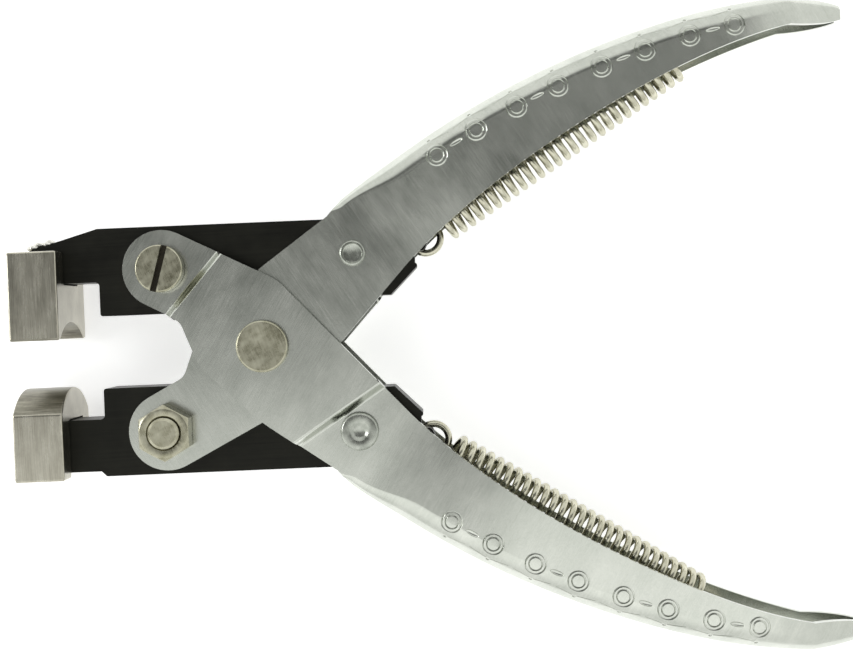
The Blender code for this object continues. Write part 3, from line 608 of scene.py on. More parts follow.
@dataclass
class Linkage:
    """Pins of the linkage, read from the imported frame, in the tool's middle plane."""

    lift: float = 0.0
    front_pin: Vector = field(default_factory=Vector)
    rear_pin: Vector = field(default_factory=Vector)
    spring_rear: Vector = field(default_factory=Vector)

    def __post_init__(self) -> None:
        """Reads the joints and the rear rivet's box."""
        places = {joint["name"]: Vector(joint["pos_m"]) for joint in frame["joints"] if "pos_m" in joint}
        self.lift = places["handle_pivot"].z
        self.front_pin = Vector((*places["upper_jaw_pivot"].xy, 0))
        self.spring_rear = Vector((*places["upper_spring_swing"].xy, 0))
        low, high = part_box("upper_slide_rivet")
        middle = (low + high) / 2
        self.rear_pin = Vector((middle.x, middle.y, 0))

    @property
    def pin_angle(self) -> float:
        """Slope of the lower handle's pin line, from its front pin down to its rear pin."""
        line = self.front_pin - self.lower(self.rear_pin)
        return math.atan2(line.y, -line.x)

    @staticmethod
    def lower(place: Vector) -> Vector:
        """The same place on the lower side."""
        return Vector((place.x, -place.y, -place.z))

    def on_handle(self, along: float, across: float) -> Vector:
        """A point of the lower handle, along and across the line of its pins."""
        c, s = math.cos(self.pin_angle), math.sin(self.pin_angle)
        return Vector((along * c + across * s, -along * s + across * c, 0))

    def place(self, obj: Object, name: str, body: str, slot: str, material: Material,
              nodes: Sequence[str], turned_over: bool = False,
              second: tuple[Material, Sequence[int]] | None = None) -> Object:
        """Finishes a piece: lifts it into the frame and hands it to its body.

        Args:
            obj: The modelled piece, in the middle plane.
            name: Its final name.
            body: CAD body that it rides on.
            slot: The record's material slot. Not used.
            material: Its finish.
            nodes: CAD nodes that it stands for.
            turned_over: Whether it is turned to the other side first.
            second: A second finish and the faces that have it.

        Returns:
            The piece.
        """
        if turned_over:
            obj.data.transform(TURNED_OVER)
        obj.data.transform(Matrix.Translation((0, 0, self.lift)))
        obj.name = name
        obj.data.name = name
        obj.data.materials.clear()
        obj.data.materials.append(material)
        if second:
            obj.data.materials.append(second[0])
            for index in second[1]:
                obj.data.polygons[index].material_index = 1
        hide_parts(*nodes)
        if body:
            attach(obj, body)
        LOG.info("%s: %d faces on %s", name, len(obj.data.polygons), body or "a spring's two ends")
        return obj


# ---- Handles ----


@dataclass
class Handles:
    """The two folded sheet-steel handles. Sizes are millimetres, on the lower handle."""

    link: Linkage
    sheet: float = 1.5
    cheek: float = 6.55
    rise: float = 1.8
    joggle_run: float = 1.7
    joggle_foot: float = 6.0
    joggle_slant: float = 15.8
    lug: float = 7.6
    waist: Flat = (11.7, 11.5)
    channel_front: float = 30.6
    channel_inner: float = 7.9
    channel_back: float = 10.3
    reach: float = 105.6
    spread: float = 61.7
    end_depth: float = 5.9
    width: float = 17.0
    flare_share: float = 0.35
    taper_reach: float = 84.0
    tip_width: float = 3.9
    tip: float = 12.8
    tip_turn: float = 58.0
    fold: Flat = (1.9, 4.4)
    fold_grow: float = 0.13
    fold_steps: int = 9
    curl_front: Flat = (26.5, -9.7)
    curl_sections: int = 8
    sections: int = 60
    rings: int = 8
    ring_start: float = 20.7
    ring_pitch: float = 9.25
    ring_inset: float = 4.6
    ring_radii: Flat = (2.0, 1.3)
    groove: float = 0.2
    dash: tuple[float, float, float] = (1.45, 0.5, 0.3)
    dot: float = 0.32
    dot_inset: float = 1.3
    zigzag: tuple[float, float, float] = (1.5, 2.1, 1.5)
    line: float = 0.1
    pin_holes: tuple[float, float, float] = (3.75, 3.15, 2.35)
    head_clear: float = 4.0
    brushing: float = 58.0

    def curves(self) -> tuple[list[Vector], list[Vector]]:
        """Control points of the grip's back and of its inner edge."""
        back_start = self.link.on_handle(self.channel_front * MM, -self.channel_back * MM)
        edge_start = self.link.on_handle(self.channel_front * MM, self.channel_inner * MM)
        end = mm(self.reach, -self.spread, 0)
        half = mm(0, self.end_depth / 2, 0)
        back = [back_start, back_start + mm(28.0, -21.7, 0),
                end - half + mm(-27.5, 2.2, 0), end - half]
        edge = [edge_start, edge_start + mm(17.5, -18.6, 0),
                end + half + mm(-24.0, 5.5, 0), end + half]
        return back, edge

    def half_width(self, place: Vector, t: float) -> float:
        """Half the channel's outer width: it flares behind the cheeks and narrows towards the tip."""
        flare = self.cheek + (self.width / 2 - self.cheek) * smooth_step(t / self.flare_share)
        tip = self.reach + self.tip * math.sin(math.radians(self.tip_turn))
        taper = max(0.0, (place.x / MM - self.taper_reach) / (tip - self.taper_reach))
        return (flare - (self.width - self.tip_width) / 2 * taper**2) * MM

    def fold_radius(self, t: float) -> float:
        """Outer radius of the fold at a share of the channel's length."""
        return (self.fold[0] + (self.fold[1] - self.fold[0]) * smooth_step(t / self.fold_grow)) * MM

    def section(self, back: Vector, edge: Vector, width: float, radius: float,
                turned: float = math.pi / 2) -> list[Vector]:
        """Outer points of one section, from the upper cheek's edge round to the lower cheek's.

        Args:
            back: Outermost point of the fold, in plan.
            edge: Inner edge of the cheeks, in plan.
            width: Half the outer width.
            radius: Outer radius of the fold.
            turned: How far the sheet is folded over.

        Returns:
            The points of the section.
        """
        radius = min(radius, 0.6 * (edge - back).length, 0.9 * width)
        inward = (edge - back).normalized()
        start = back + inward * radius * math.sin(turned)
        points = [Vector((*edge.xy, width)), Vector((*start.xy, width))]
        for i in range(1, self.fold_steps + 1):
            turn = turned * i / self.fold_steps
            place = start - inward * radius * math.sin(turn)
            points.append(Vector((*place.xy, width - radius * (1 - math.cos(turn)))))
        return points + [Vector((p.x, p.y, -p.z)) for p in reversed(points)]

    def all_sections(self) -> list[list[Vector]]:
        """Every section: the curl where the fold begins, the channel, and the closed tip."""
        back, edge = self.curves()
        along, across = self.curl_front
        shoulder = Vector((-6.1, self.waist[0]))
        slope = (self.channel_inner - shoulder.y) / (self.channel_front - shoulder.x)
        curl_back = self.link.on_handle(along * MM, across * MM)
        curl_edge = self.link.on_handle(along * MM, (shoulder.y + slope * (along - shoulder.x)) * MM)
        made = []
        for i in range(self.curl_sections):
            share = i / self.curl_sections
            turned = math.pi / 2 * (0.03 + 0.97 * smooth_step(share * 0.95))
            radius = (0.6 + (self.fold[0] - 0.6) * share) * MM
            made.append(self.section(curl_back.lerp(back[0], share), curl_edge.lerp(edge[0], share),
                                     self.cheek * MM, radius, turned))
        for i in range(self.sections + 1):
            t = i / self.sections
            behind, ahead = bezier(back, t), bezier(edge, t)
            width = self.half_width((behind + ahead) / 2, t)
            made.append(self.section(behind, ahead, width, self.fold_radius(t)))
        middle = (back[3] + edge[3]) / 2
        tip_steps = 14
        for i in range(1, tip_steps + 1):
            turn = math.radians(self.tip_turn) * i / tip_steps
            centre = middle + Vector((1, 0.03, 0)) * math.sin(turn) * self.tip * MM
            half = Vector((0, math.cos(turn) * self.end_depth / 2, 0)) * MM
            width = self.half_width(centre, 1)
            made.append(self.section(centre - half, centre + half, width, self.fold_radius(1)))
        return made

    def cheek_path(self) -> list[Flat]:
        """Outline of a cheek ahead of the channel, from the fold's front end round the lug."""
        on_handle, lug = self.link.on_handle, self.lug * MM
        first_section = self.all_sections()[0]
        edge, start = first_section[0], first_section[1]
        pin = self.link.front_pin.xy
        radius = self.link.front_pin.length
        neck = on_handle(lug + 2.0 * MM - radius, lug - 14.1 * MM)
        shoulder = on_handle(-6.1 * MM, self.waist[0] * MM)
        hip_rear = on_handle(9.6 * MM, -self.waist[1] * MM)
        hip_front = on_handle(-7.0 * MM, (0.6 - self.waist[1]) * MM)
        first = self.tangent(pin, lug, neck.xy, -1)
        last = self.tangent(pin, lug, shoulder.xy, 1)
        first_point = pin + Vector((math.cos(first), math.sin(first))) * lug
        last_point = pin + Vector((math.cos(last), math.sin(last))) * lug
        before = outline([(*start.xy, 0), (*hip_rear.xy, 20 * MM), (*hip_front.xy, 9 * MM),
                          (*neck.xy, 3 * MM), (*first_point, 0)], closed=False)[:-1]
        sweep = (last - first) % (2 * math.pi) - 2 * math.pi
        round_lug = arc(tuple(pin), lug, first, first + sweep)
        after = outline([(*last_point, 0), (*shoulder.xy, 8 * MM), (*edge.xy, 0)], closed=False)[1:]
        return before + round_lug + after

    @staticmethod
    def tangent(centre: Vector, radius: float, point: Vector, side: int) -> float:
        """Angle on a circle where the line from an outside point touches it, on one side."""
        away = point - centre
        return math.atan2(away.y, away.x) + side * math.acos(radius / away.length)

    def joggles(self) -> list[tuple[Vector, Vector]]:
        """(point, normal) of the lines where the two joggles start, normals towards the pivot."""
        front_normal = self.link.on_handle(1, 0)
        rear_normal = Matrix.Rotation(-math.radians(self.joggle_slant), 3, "Z") @ self.link.on_handle(-1, 0)
        front = self.link.front_pin + front_normal * self.joggle_foot * MM
        rear = self.link.lower(self.link.rear_pin) + rear_normal * self.head_clear * MM
        return [(front, front_normal), (rear, rear_normal)]

    def raised(self, place: Vector) -> float:
        """Height of the joggled cheek over the plain one at a point."""
        share = 1.0
        for foot, towards in self.joggles():
            share = min(share, smooth_step((place - foot).dot(towards) / (self.joggle_run * MM)))
        return share * self.rise * MM

    def cheek_sheet(self, level: float, joggled: bool) -> Object:
        """One cheek ahead of the channel, as a face that is creased at its joggles."""
        obj = trace("cheek", [Vector((x, y, 0)) for x, y in self.cheek_path()], closed=True)
        if joggled:
            creases = 8
            with editing(obj):
                for foot, towards in self.joggles():
                    for i in range(creases + 1):
                        take_all()
                        run = self.joggle_run * MM * i / creases
                        bpy.ops.mesh.bisect(plane_co=foot + towards * run, plane_no=towards, threshold=1e-8)
        for vert in obj.data.vertices:
            flat = Vector((vert.co.x, vert.co.y, 0))
            vert.co.z = level + (math.copysign(self.raised(flat), level) if joggled else 0.0)
        return obj

    def channel_sheet(self) -> Object:
        """The grip's open channel: the first section is traced, then extruded along the others."""
        sections = self.all_sections()
        obj = trace("channel", sections[0])
        with editing(obj):
            take_all()
            for near, far in zip(sections, sections[1:]):
                extrude((0, 0, 0))
                mesh = bmesh.from_edit_mesh(obj.data)
                for vert in (v for v in mesh.verts if v.select):
                    index = min(range(len(near)), key=lambda i: (near[i] - vert.co).length_squared)
                    vert.co = far[index]
                bmesh.update_edit_mesh(obj.data)
            front = self.link.on_handle(1, 0)
            limit = (self.channel_front - 0.1) * MM
            pick(obj, "faces", lambda f: abs(f.calc_center_median().z) < 1e-6
                 and f.calc_center_median().dot(front) < limit)
            bpy.ops.mesh.delete(type="FACE")
        return obj

    def surface(self, share: float, inset: float, side: int) -> Vector:
        """A point of the grip's outer surface.

        Args:
            share: Share of the back curve's length.
            inset: Distance in from the back, in plan, in millimetres.
            side: 1 for the upper cheek, -1 for the lower one.

        Returns:
            The point.
        """
        back, edge = self.curves()
        here, there = bezier(back, share), bezier(edge, share)
        place = here + (there - here).normalized() * inset * MM
        width = self.half_width((here + there) / 2, share)
        radius = min(self.fold_radius(share), 0.6 * (there - here).length)
        gap = max(0.0, radius - inset * MM)
        return Vector((place.x, place.y, side * (width - radius + math.sqrt(radius**2 - gap**2))))

    def ring_shares(self) -> list[float]:
        """Shares of the back curve at which the rings stand, evenly spaced along the grip."""
        back, _ = self.curves()
        steps, run, shares = 500, 0.0, []
        for i in range(steps):
            run += (bezier(back, (i + 1) / steps) - bezier(back, i / steps)).length / MM
            if run >= self.ring_start + len(shares) * self.ring_pitch and len(shares) < self.rings:
                shares.append((i + 1) / steps)
        return shares

    def local_frame(self, share: float, inset: float, side: int) -> Matrix:
        """Frame that lies on the grip's surface, X along the grip."""
        reach, step = self.ring_radii[0], 0.02
        back, ahead = self.surface(share - step, inset, side), self.surface(share + step, inset, side)
        outer, inner = self.surface(share, inset - reach, side), self.surface(share, inset + reach, side)
        x = (ahead - back).normalized()
        normal = x.cross(inner - outer).normalized()
        placed = Matrix.Identity(4)
        placed.col[0].xyz, placed.col[1].xyz, placed.col[2].xyz = x, normal.cross(x), normal
        placed.col[3].xyz = (ahead + back + outer + inner) / 4
        return placed

    def rod(self, start: Vector, end: Vector, radius: float) -> Object:
        """A thin cutter between two points of the surface, a little short of both."""
        along = end - start
        return primitive("cylinder", vertices=10, radius=radius, depth=along.length * 0.8,
                         location=(start + end) / 2, rotation=along.to_track_quat("Z", "Y").to_euler())

    def marks(self) -> Object:
        """Cutters of the coined figures: rings and dashes on the cheeks, a dotted zigzag on the fold."""
        cutters = []
        shares = self.ring_shares()
        for side in (1, -1):
            for share in shares:
                placed = self.local_frame(share, self.ring_inset, side)
                for radius in self.ring_radii:
                    ring = primitive("torus", major_radius=radius * MM, minor_radius=self.groove * MM,
                                     major_segments=40, minor_segments=8)
                    ring.data.transform(placed)
                    cutters.append(ring)
                cutters.append(primitive("ico_sphere", subdivisions=3, radius=self.dot * MM,
                                         location=self.surface(share, self.dot_inset, side)))
            for i, (here, there) in enumerate(zip(shares, shares[1:])):
                middle = (here + there) / 2
                if i % 2 == 0:
                    dash = primitive("uv_sphere", self.dash, segments=24, ring_count=12, radius=MM)
                    lying = self.local_frame(middle, self.ring_inset, side)
                    lying.col[3].xyz = self.surface(middle, self.ring_inset, side)
                    dash.data.transform(lying)
                    cutters.append(dash)
                first, knee, last = (self.surface(share, inset, side)
                                     for share, inset in zip((here, middle, there), self.zigzag))
                cutters += [self.rod(first, knee, self.line * MM), self.rod(knee, last, self.line * MM)]
        return join(cutters)

    def pressing(self) -> Object:
        """The lower handle's sheet with its thickness, edges and holes."""
        upper = self.cheek_sheet(self.cheek * MM, True)
        lower = self.cheek_sheet(-self.cheek * MM, False)
        sheet = join([self.channel_sheet(), upper, lower])
        tidy_normals(sheet)
        top = max(sheet.data.polygons, key=lambda face: face.center.z)
        if top.normal.z < 0:
            with editing(sheet):
                take_all()
                bpy.ops.mesh.flip_normals()
        apply_modifier(sheet, "SOLIDIFY", thickness=self.sheet * MM, offset=-1, use_even_offset=True)
        soften(sheet, 0.32 * MM, 3, 55)
        centres = (Vector((0, 0, 0)), self.link.front_pin, self.link.lower(self.link.rear_pin))
        deep = 14 * MM
        holes = [drum("hole", centre, radius * MM, -deep, deep)
                 for centre, radius in zip(centres, self.pin_holes)]
        carve(sheet, join([*holes, self.marks()]))
        return sheet

    def build(self) -> None:
        """Makes the lower handle, and the upper one as a copy turned over."""
        lower = self.pressing()
        shade(lower)
        upper = copy_of(lower, "upper")
        steels = [PlatedPressing(f"nickel_plated_pressing_{name}", "#b9bdb5", "#dadcd5", 0.17, 0.28,
                                 brush_angle=math.radians(angle)).build()
                  for name, angle in (("lower", self.brushing), ("upper", -self.brushing))]
        for piece, name, steel in ((lower, "lower", steels[0]), (upper, "upper", steels[1])):
            self.link.place(piece, f"{name}_handle_pressing", f"{name}_handle", "handle_steel", steel,
                            [f"{name}_handle"], turned_over=piece is upper)


# ---- Jaws ----


@dataclass
class Jaw:
    """A jaw bar with its die and its braze. Sizes are millimetres, drawn on the upper side."""

    link: Linkage
    side: Side
    neck_inner: float
    neck_outer: float
    neck_root: float
    thickness: float = 9.5
    front: float = -32.0
    inner: float = 7.1
    outer: float = 24.3
    tail_inner: float = 9.0
    tail_step: float = 15.1
    neck_end: float = -45.5
    pin_hole: float = 3.15
    slide: float = 2.35
    closing: float = 16.77
    bush_room: float = 5.5
    pivot_shift: Flat = (3.745, 6.254)
    spring_front: Flat = (32.4, 20.0)
    coil: float = 2.95
    wire: float = 0.7
    die_front: float = -48.5
    die_length: float = 9.6
    die_width: float = 20.0
    die_face: float = 2.85
    die_back: float = 20.1
    work_radius: float = 12.8
    groove_half: float = 8.6

    @property
    def turned_over(self) -> bool:
        """Whether this is the lower jaw."""
        return self.side is Side.LOWER

    @property
    def body(self) -> str:
        """CAD body that the jaw's pieces ride on."""
        return f"{self.side.value}_jaw"

    def slot_ends(self) -> list[Vector]:
        """Centres of the two ends of the rear rivet's slot, open first."""
        front, rear = self.link.front_pin, self.link.rear_pin
        skew = (math.atan2(rear.y, rear.x) - math.atan2(front.y, -front.x)) / 2
        along = Vector((math.cos(skew), math.sin(skew), 0))
        radius, mean = front.length, self.link.pin_angle
        return [front + along * 2 * radius * math.cos(mean - math.radians(turn)) for turn in (0, self.closing)]

    def bar_outline(self) -> list[Flat]:
        """Outline of the bar, from its front inner corner."""
        tail = self.slot_ends()[1].x / MM
        step = tail + 4.1
        x, y = self.spring_front
        corners = [
            (self.front, self.inner, 0.5), (3.6, self.inner, 0), (3.6, self.tail_inner, 0),
            (tail - 0.9, self.tail_inner, 0.5),
            (tail - 0.9 + self.tail_step - self.tail_inner, self.tail_step, 0.5),
            (step, self.tail_step, 0), (step, self.tail_step + 2.1, 0),
            (x - 0.4, y - 2.5, 0.9), (x + 0.5, y - 0.6, 0.9), (x - 0.5, y + 1.2, 0.9),
            (x - 2.8, self.outer, 1.5), (self.front, self.outer, 0.5),
            *([(self.front - 1.0, self.neck_root, 0)] if self.neck_root < self.outer else []),
            (self.neck_end, self.neck_outer, 0.4), (self.neck_end, self.neck_inner, 0.4),
            (self.front, self.neck_inner, 0.8),
        ]
        return outline([(cx * MM, cy * MM, radius * MM) for cx, cy, radius in corners])

    @staticmethod
    def capsule(name: str, start: Vector, end: Vector, radius: float, deep: float) -> Object:
        """A cutter with round ends that runs between two points."""
        along = end - start
        turn = math.atan2(along.y, along.x)
        points = arc(tuple(start.xy), radius, turn + math.pi / 2, turn + 3 * math.pi / 2)
        points += arc(tuple(end.xy), radius, turn - math.pi / 2, turn + math.pi / 2)
        return plate(name, points, -deep, deep)

    def bar(self) -> Object:
        """The black bar: sawn from flat stock, its rims chamfered, its holes and slot milled."""
        half = self.thickness / 2 * MM
        deep = half + 3 * MM
        bar = plate("bar", self.bar_outline(), -half, half)
        with editing(bar, "EDGE"):
            pick(bar, "edges", lambda e: all(abs(abs(v.co.z) - half) < 1e-6 for v in e.verts))
            bpy.ops.mesh.bevel(offset=0.28 * MM, segments=2, affect="EDGES", clamp_overlap=True)
        carve(bar, drum("pin", self.link.front_pin, self.pin_hole * MM, -deep, deep))
        carve(bar, self.capsule("slot", *self.slot_ends(), self.slide * MM, deep))
        shift = mm(*self.pivot_shift, 0)
        carve(bar, self.capsule("relief", Vector((0, 0, 0)), shift, self.bush_room * MM, deep))
        hook = mm(*self.spring_front, 0)
        room = (self.wire + 0.3) * MM
        carve(bar, drum("groove", hook, self.coil * MM + room, -room, room))
        along = (self.link.spring_rear - hook).normalized()
        post = hook - along * (self.coil - self.wire - 0.9 - 0.15) * MM
        carve(bar, drum("post", post, 0.9 * MM, 0.3 * MM - half, half - 0.3 * MM), "UNION")
        shade(bar)
        return bar

    def die_profile(self) -> list[Flat]:
        """(y, z) outline of the die: concave above, convex below, from its working face round its back."""
        half = self.die_width / 2
        if self.turned_over:
            turn = math.asin(half / self.work_radius)
            centre = (self.die_face + self.work_radius * math.cos(turn), 0.0)
            worked = arc(centre, self.work_radius, math.pi + turn, math.pi - turn, 3.0)[1:-1]
        else:
            turn = math.asin(self.groove_half / self.work_radius)
            centre = (self.die_face - self.work_radius * math.cos(turn), 0.0)
            worked = arc(centre, self.work_radius, -turn, turn, 3.0)
        points = [(self.die_face, -half), *worked, (self.die_face, half), (self.die_back, half),
                  (self.die_back, -half)]
        return [(y * MM, z * MM) for y, z in points]

    def die(self) -> Object:
        """The ground block with its formed face and the slot that takes the neck."""
        profile = self.die_profile()
        die = trace("die", [Vector((self.die_front * MM, y, z)) for y, z in profile], closed=True)
        with editing(die):
            take_all()
            extrude((self.die_length * MM, 0, 0))
        tidy_normals(die)
        soften(die, 0.42 * MM, 3, 40, clamp=False)
        half = (self.thickness / 2 + 0.3) * MM
        low = Vector(((self.neck_end - 0.3) * MM, (self.neck_inner - 0.3) * MM, -half))
        high = Vector(((self.die_front + self.die_length + 3) * MM, (self.outer + 3) * MM, half))
        carve(die, block("slot", low, high))
        shade(die)
        return die

    def is_worked(self, face: Face) -> bool:
        """Whether a face of the die belongs to its groove or its ridge."""
        level = face.center.y / MM
        in_reach = level < self.die_face if self.turned_over else level > self.die_face + 0.05
        return in_reach and level < self.die_face + 3.6 and face.normal.y < -0.2 and abs(face.normal.x) < 0.3

    def braze(self) -> Object:
        """Lumps of braze that froze on the neck's outer edge, melted into one skin."""
        slope = math.atan2(self.neck_root - self.neck_outer, self.front - self.neck_end)
        lumps = [(-0.1, 0.7, 1.6, 0.8), (0.9, 0.9, -0.4, 1.0), (1.8, 0.6, 2.6, 0.85), (2.2, 0.8, -1.6, 0.8),
                 (3.5, 0.65, 1.2, 0.85), (0.5, 0.4, 3.4, 0.7), (1.4, 0.4, -3.0, 0.7), (3.3, 0.3, 3.1, 0.55),
                 (4.6, 0.35, -0.6, 0.5)]
        balls = []
        for along, out, across, radius in lumps:
            place = Vector((self.neck_end * MM, self.neck_outer * MM, 0))
            place += Matrix.Rotation(slope, 3, "Z") @ Vector((along, out, across)) * MM
            balls.append(primitive("ico_sphere", (1.35, 0.85, 1.2), subdivisions=4, radius=radius * MM,
                                   location=place))
        bead = join(balls)
        apply_modifier(bead, "REMESH", mode="VOXEL", voxel_size=0.14 * MM)
        for vert in bead.data.vertices:
            vert.co += vert.normal * 0.16 * MM * noise.noise(vert.co / (0.7 * MM))
        shade(bead, 180)
        return bead

    def build(self) -> None:
        """Makes the bar, the die and the braze."""
        name = self.side.value
        black = BlackOxideSteel(f"black_oxide_{name}", "#151512", "#25251f", 0.30, 0.50, 0.75)
        ground = GroundSteel(f"ground_steel_{name}", "#9a9688", "#d3d0c3", 0.17, 0.32)
        braze = SilverBraze(f"silver_braze_{name}", "#bdbcb4", "#efeee8", 0.18, 0.38)
        worked = GroundSteel(f"worked_steel_{name}", "#4b483e", "#aeab9d", 0.24, 0.42,
                             line=Vector((5.0, 0.25, 0.25)), stain=Vector((7.0, 1.3, 1.3)))
        link = self.link
        link.place(self.bar(), f"{name}_jaw_bar_body", self.body, "blackened_steel", black.build(),
                   [f"{name}_jaw_bar"], self.turned_over)
        die = self.die()
        inner = [face.index for face in die.data.polygons if self.is_worked(face)]
        link.place(die, f"{name}_die_block", self.body, "bare_steel", ground.build(), [f"{name}_die"],
                   self.turned_over, second=(worked.build(), inner))
        link.place(self.braze(), f"{name}_braze_bead", self.body, "braze", braze.build(),
                   [f"{name}_weld"], self.turned_over)


# ---- Fasteners ----


@dataclass
class Fasteners:
    """Pivot rivet, sliding rivets, jaw screws and nuts. Sizes are millimetres."""

    link: Linkage
    seat: float = 6.85
    pivot_face: float = 10.25
    pivot_head: float = 5.0
    pivot_head_height: float = 1.6
    pivot_shank: float = 3.6
    screw_head: float = 4.6
    screw_head_height: float = 2.6
    screw_shank: float = 3.0
    slot_width: float = 1.2
    slot_depth: float = 1.3
    slot_angle: float = 74.0
    nut_flats: float = 9.6
    nut_height: float = 4.2
    screw_end: float = 0.8
    slide_head: float = 3.7
    slide_head_height: float = 1.3
    slide_shank: float = 2.2
    slide_end: float = 2.5
    slide_end_height: float = 1.0

    @staticmethod
    def eased(corner: Flat, size: float, from_top: bool) -> list[Flat]:
        """Points of a small round on a turned corner, listed downwards."""
        radius, height = corner
        points = []
        for i in range(5):
            turn = math.pi / 2 * i / 4
            if from_top:
                points.append((radius - size + size * math.sin(turn), height - size + size * math.cos(turn)))
            else:
                points.append((radius - size + size * math.cos(turn), height + size - size * math.sin(turn)))
        return points

    def scaled(self, profile: Sequence[Flat]) -> list[Flat]:
        """The profile in metres."""
        return [(radius * MM, height * MM) for radius, height in profile]

    def pivot(self) -> Object:
        """The central rivet, with a flat faced head at each end."""
        top, under = self.pivot_face, self.pivot_face - self.pivot_head_height
        head = [(0, top - 0.06), (self.pivot_head * 0.6, top - 0.03),
                *self.eased((self.pivot_head, top), 0.42, True), (self.pivot_head, under),
                (self.pivot_shank, under)]
        profile = head + [(radius, -height) for radius, height in reversed(head)]
        rivet = lathe("pivot", self.scaled(profile), Vector((0, 0, 0)))
        shade(rivet)
        return rivet

    def slide_rivet(self) -> Object:
        """A rear rivet of the lower side: dished head above, formed end below."""
        head, end = self.seat + self.slide_head_height, -self.seat - self.slide_end_height
        profile = [
            (0, head - 0.55), (0.8, head - 0.52), (1.3, head - 0.36), (1.75, head - 0.08), (2.1, head - 0.01),
            *self.eased((self.slide_head, head), 0.55, True), (self.slide_head, self.seat),
            (self.slide_shank, self.seat), (self.slide_shank, -self.seat), (self.slide_end, -self.seat),
            *self.eased((self.slide_end, end), 0.4, False), (2.0, end), (1.85, end + 0.3),
            (1.7, end + 0.36), (0, end + 0.3),
        ]
        rivet = lathe("slide", self.scaled(profile), self.link.lower(self.link.rear_pin))
        shade(rivet)
        return rivet

    def screw(self) -> Object:
        """A slotted cheese-head screw, its end threaded through the nut."""
        top, end = self.seat + self.screw_head_height, -self.seat - self.nut_height - self.screw_end
        shank = self.screw_shank
        threads = []
        pitch, start = 0.5, -self.seat - self.nut_height + 0.2
        count = int((start - end) / pitch) - 1
        for i in range(count):
            level = start - i * pitch
            threads += [(shank, level), (shank - 0.26, level - pitch / 2)]
        profile = [
            (0, top), (self.screw_head * 0.55, top - 0.03), *self.eased((self.screw_head, top), 0.35, True),
            (self.screw_head, self.seat), (shank, self.seat), *threads, (shank, end + 0.45),
            (shank - 0.5, end), (0, end),
        ]
        screw = lathe("screw", self.scaled(profile), self.link.front_pin)
        reach = self.screw_head + 2
        cut = block("slot", mm(-reach, -self.slot_width / 2, -self.slot_depth),
                    mm(reach, self.slot_width / 2, 2))
        turn_about(cut, math.radians(self.slot_angle), "Z", Vector((0, 0, 0)))
        cut.data.transform(Matrix.Translation((*self.link.front_pin.xy, top * MM)))
        carve(screw, cut)
        shade(screw)
        return screw

    def nut(self) -> Object:
        """A hexagon nut with a turned chamfer and a countersunk bore on its outer face."""
        flat = self.nut_flats / 2
        radius = flat / math.cos(math.pi / 6)
        top, end = -self.seat, -self.seat - self.nut_height
        pin = self.link.front_pin
        nut = primitive("cylinder", vertices=6, radius=radius * MM, depth=self.nut_height * MM,
                        location=(pin.x, pin.y, (top + end) / 2 * MM))
        corner = radius - flat
        limit = [(0, top + 1), (radius + 1, top + 1), (radius + 1, end + (corner + 1.15) * 0.6),
                 (flat - 0.15, end), (0, end)]
        carve(nut, lathe("chamfer", self.scaled(limit), pin, 96), "INTERSECT")
        bore = self.screw_shank + 0.08
        sink = [(0, end - 1), (bore + 1.3, end - 1), (bore + 0.3, end), (bore, end + 0.3), (bore, top + 1),
                (0, top + 1)]
        carve(nut, lathe("bore", self.scaled(sink), pin, 72))
        soften(nut, 0.09 * MM, 2, 25)
        shade(nut, 25)
        return nut

    def build(self) -> None:
        """Makes one of each fastener and a copy turned over for the other side."""
        link = self.link
        lifted = Vector((0, 0, link.lift))
        warm = ("#8f8c76", "#c9c7b4", 0.20, 0.38)
        pivot = TurnedNickel("turned_nickel_pivot", *warm, centre=lifted, rings=0.3)
        link.place(self.pivot(), "pivot_rivet_turned", "lower_handle", "nickel", pivot.build(), ["pivot_rivet"])
        cool = ("#8b8f87", "#c6c9c1", 0.18, 0.34)
        pairs = (
            (self.slide_rivet, "slide_rivet", Side.LOWER, link.lower(link.rear_pin), 0.2, cool),
            (self.screw, "jaw_screw", Side.UPPER, link.front_pin, 0.5, warm),
            (self.nut, "jaw_nut", Side.UPPER, link.front_pin, 1.0, warm),
        )
        # Painted shade: the driver slot's faces get a near-black finish that stands in for the shade inside the
        # slot.
        slot_shade_paint = BlackOxideSteel("slot_grime", "#1d1a14", "#3d382d", 0.45, 0.65, 0.6).build()
        for model, part, native, place, rings, tones in pairs:
            first = model()
            # Faces of the driver slot, which take the painted shade.
            slotted = [face.index for face in first.data.polygons if part == "jaw_screw" and self.in_slot(face)]
            second = copy_of(first, "second")
            for piece, over in ((first, False), (second, True)):
                side = native if not over else (Side.UPPER if native is Side.LOWER else Side.LOWER)
                centre = (link.lower(place) if over else place) + lifted
                finish = TurnedNickel(f"turned_nickel_{side.value}_{part}", *tones, centre=centre, rings=rings)
                node = f"{side.value}_{part}"
                body = "upper_handle" if over else "lower_handle"
                link.place(piece, f"{node}_turned", body, "nickel", finish.build(), [node], over,
                           second=(slot_shade_paint, slotted) if slotted else None)

    def in_slot(self, face: Face) -> bool:
        """Whether a face of the screw lies in its driver slot."""
        level = face.center.z / MM - self.seat
        from_axis = (face.center.xy - self.link.front_pin.xy).length / MM
        return 0.5 < level < self.screw_head_height - 0.1 and from_axis < self.screw_head - 0.25


# ---- Springs ----


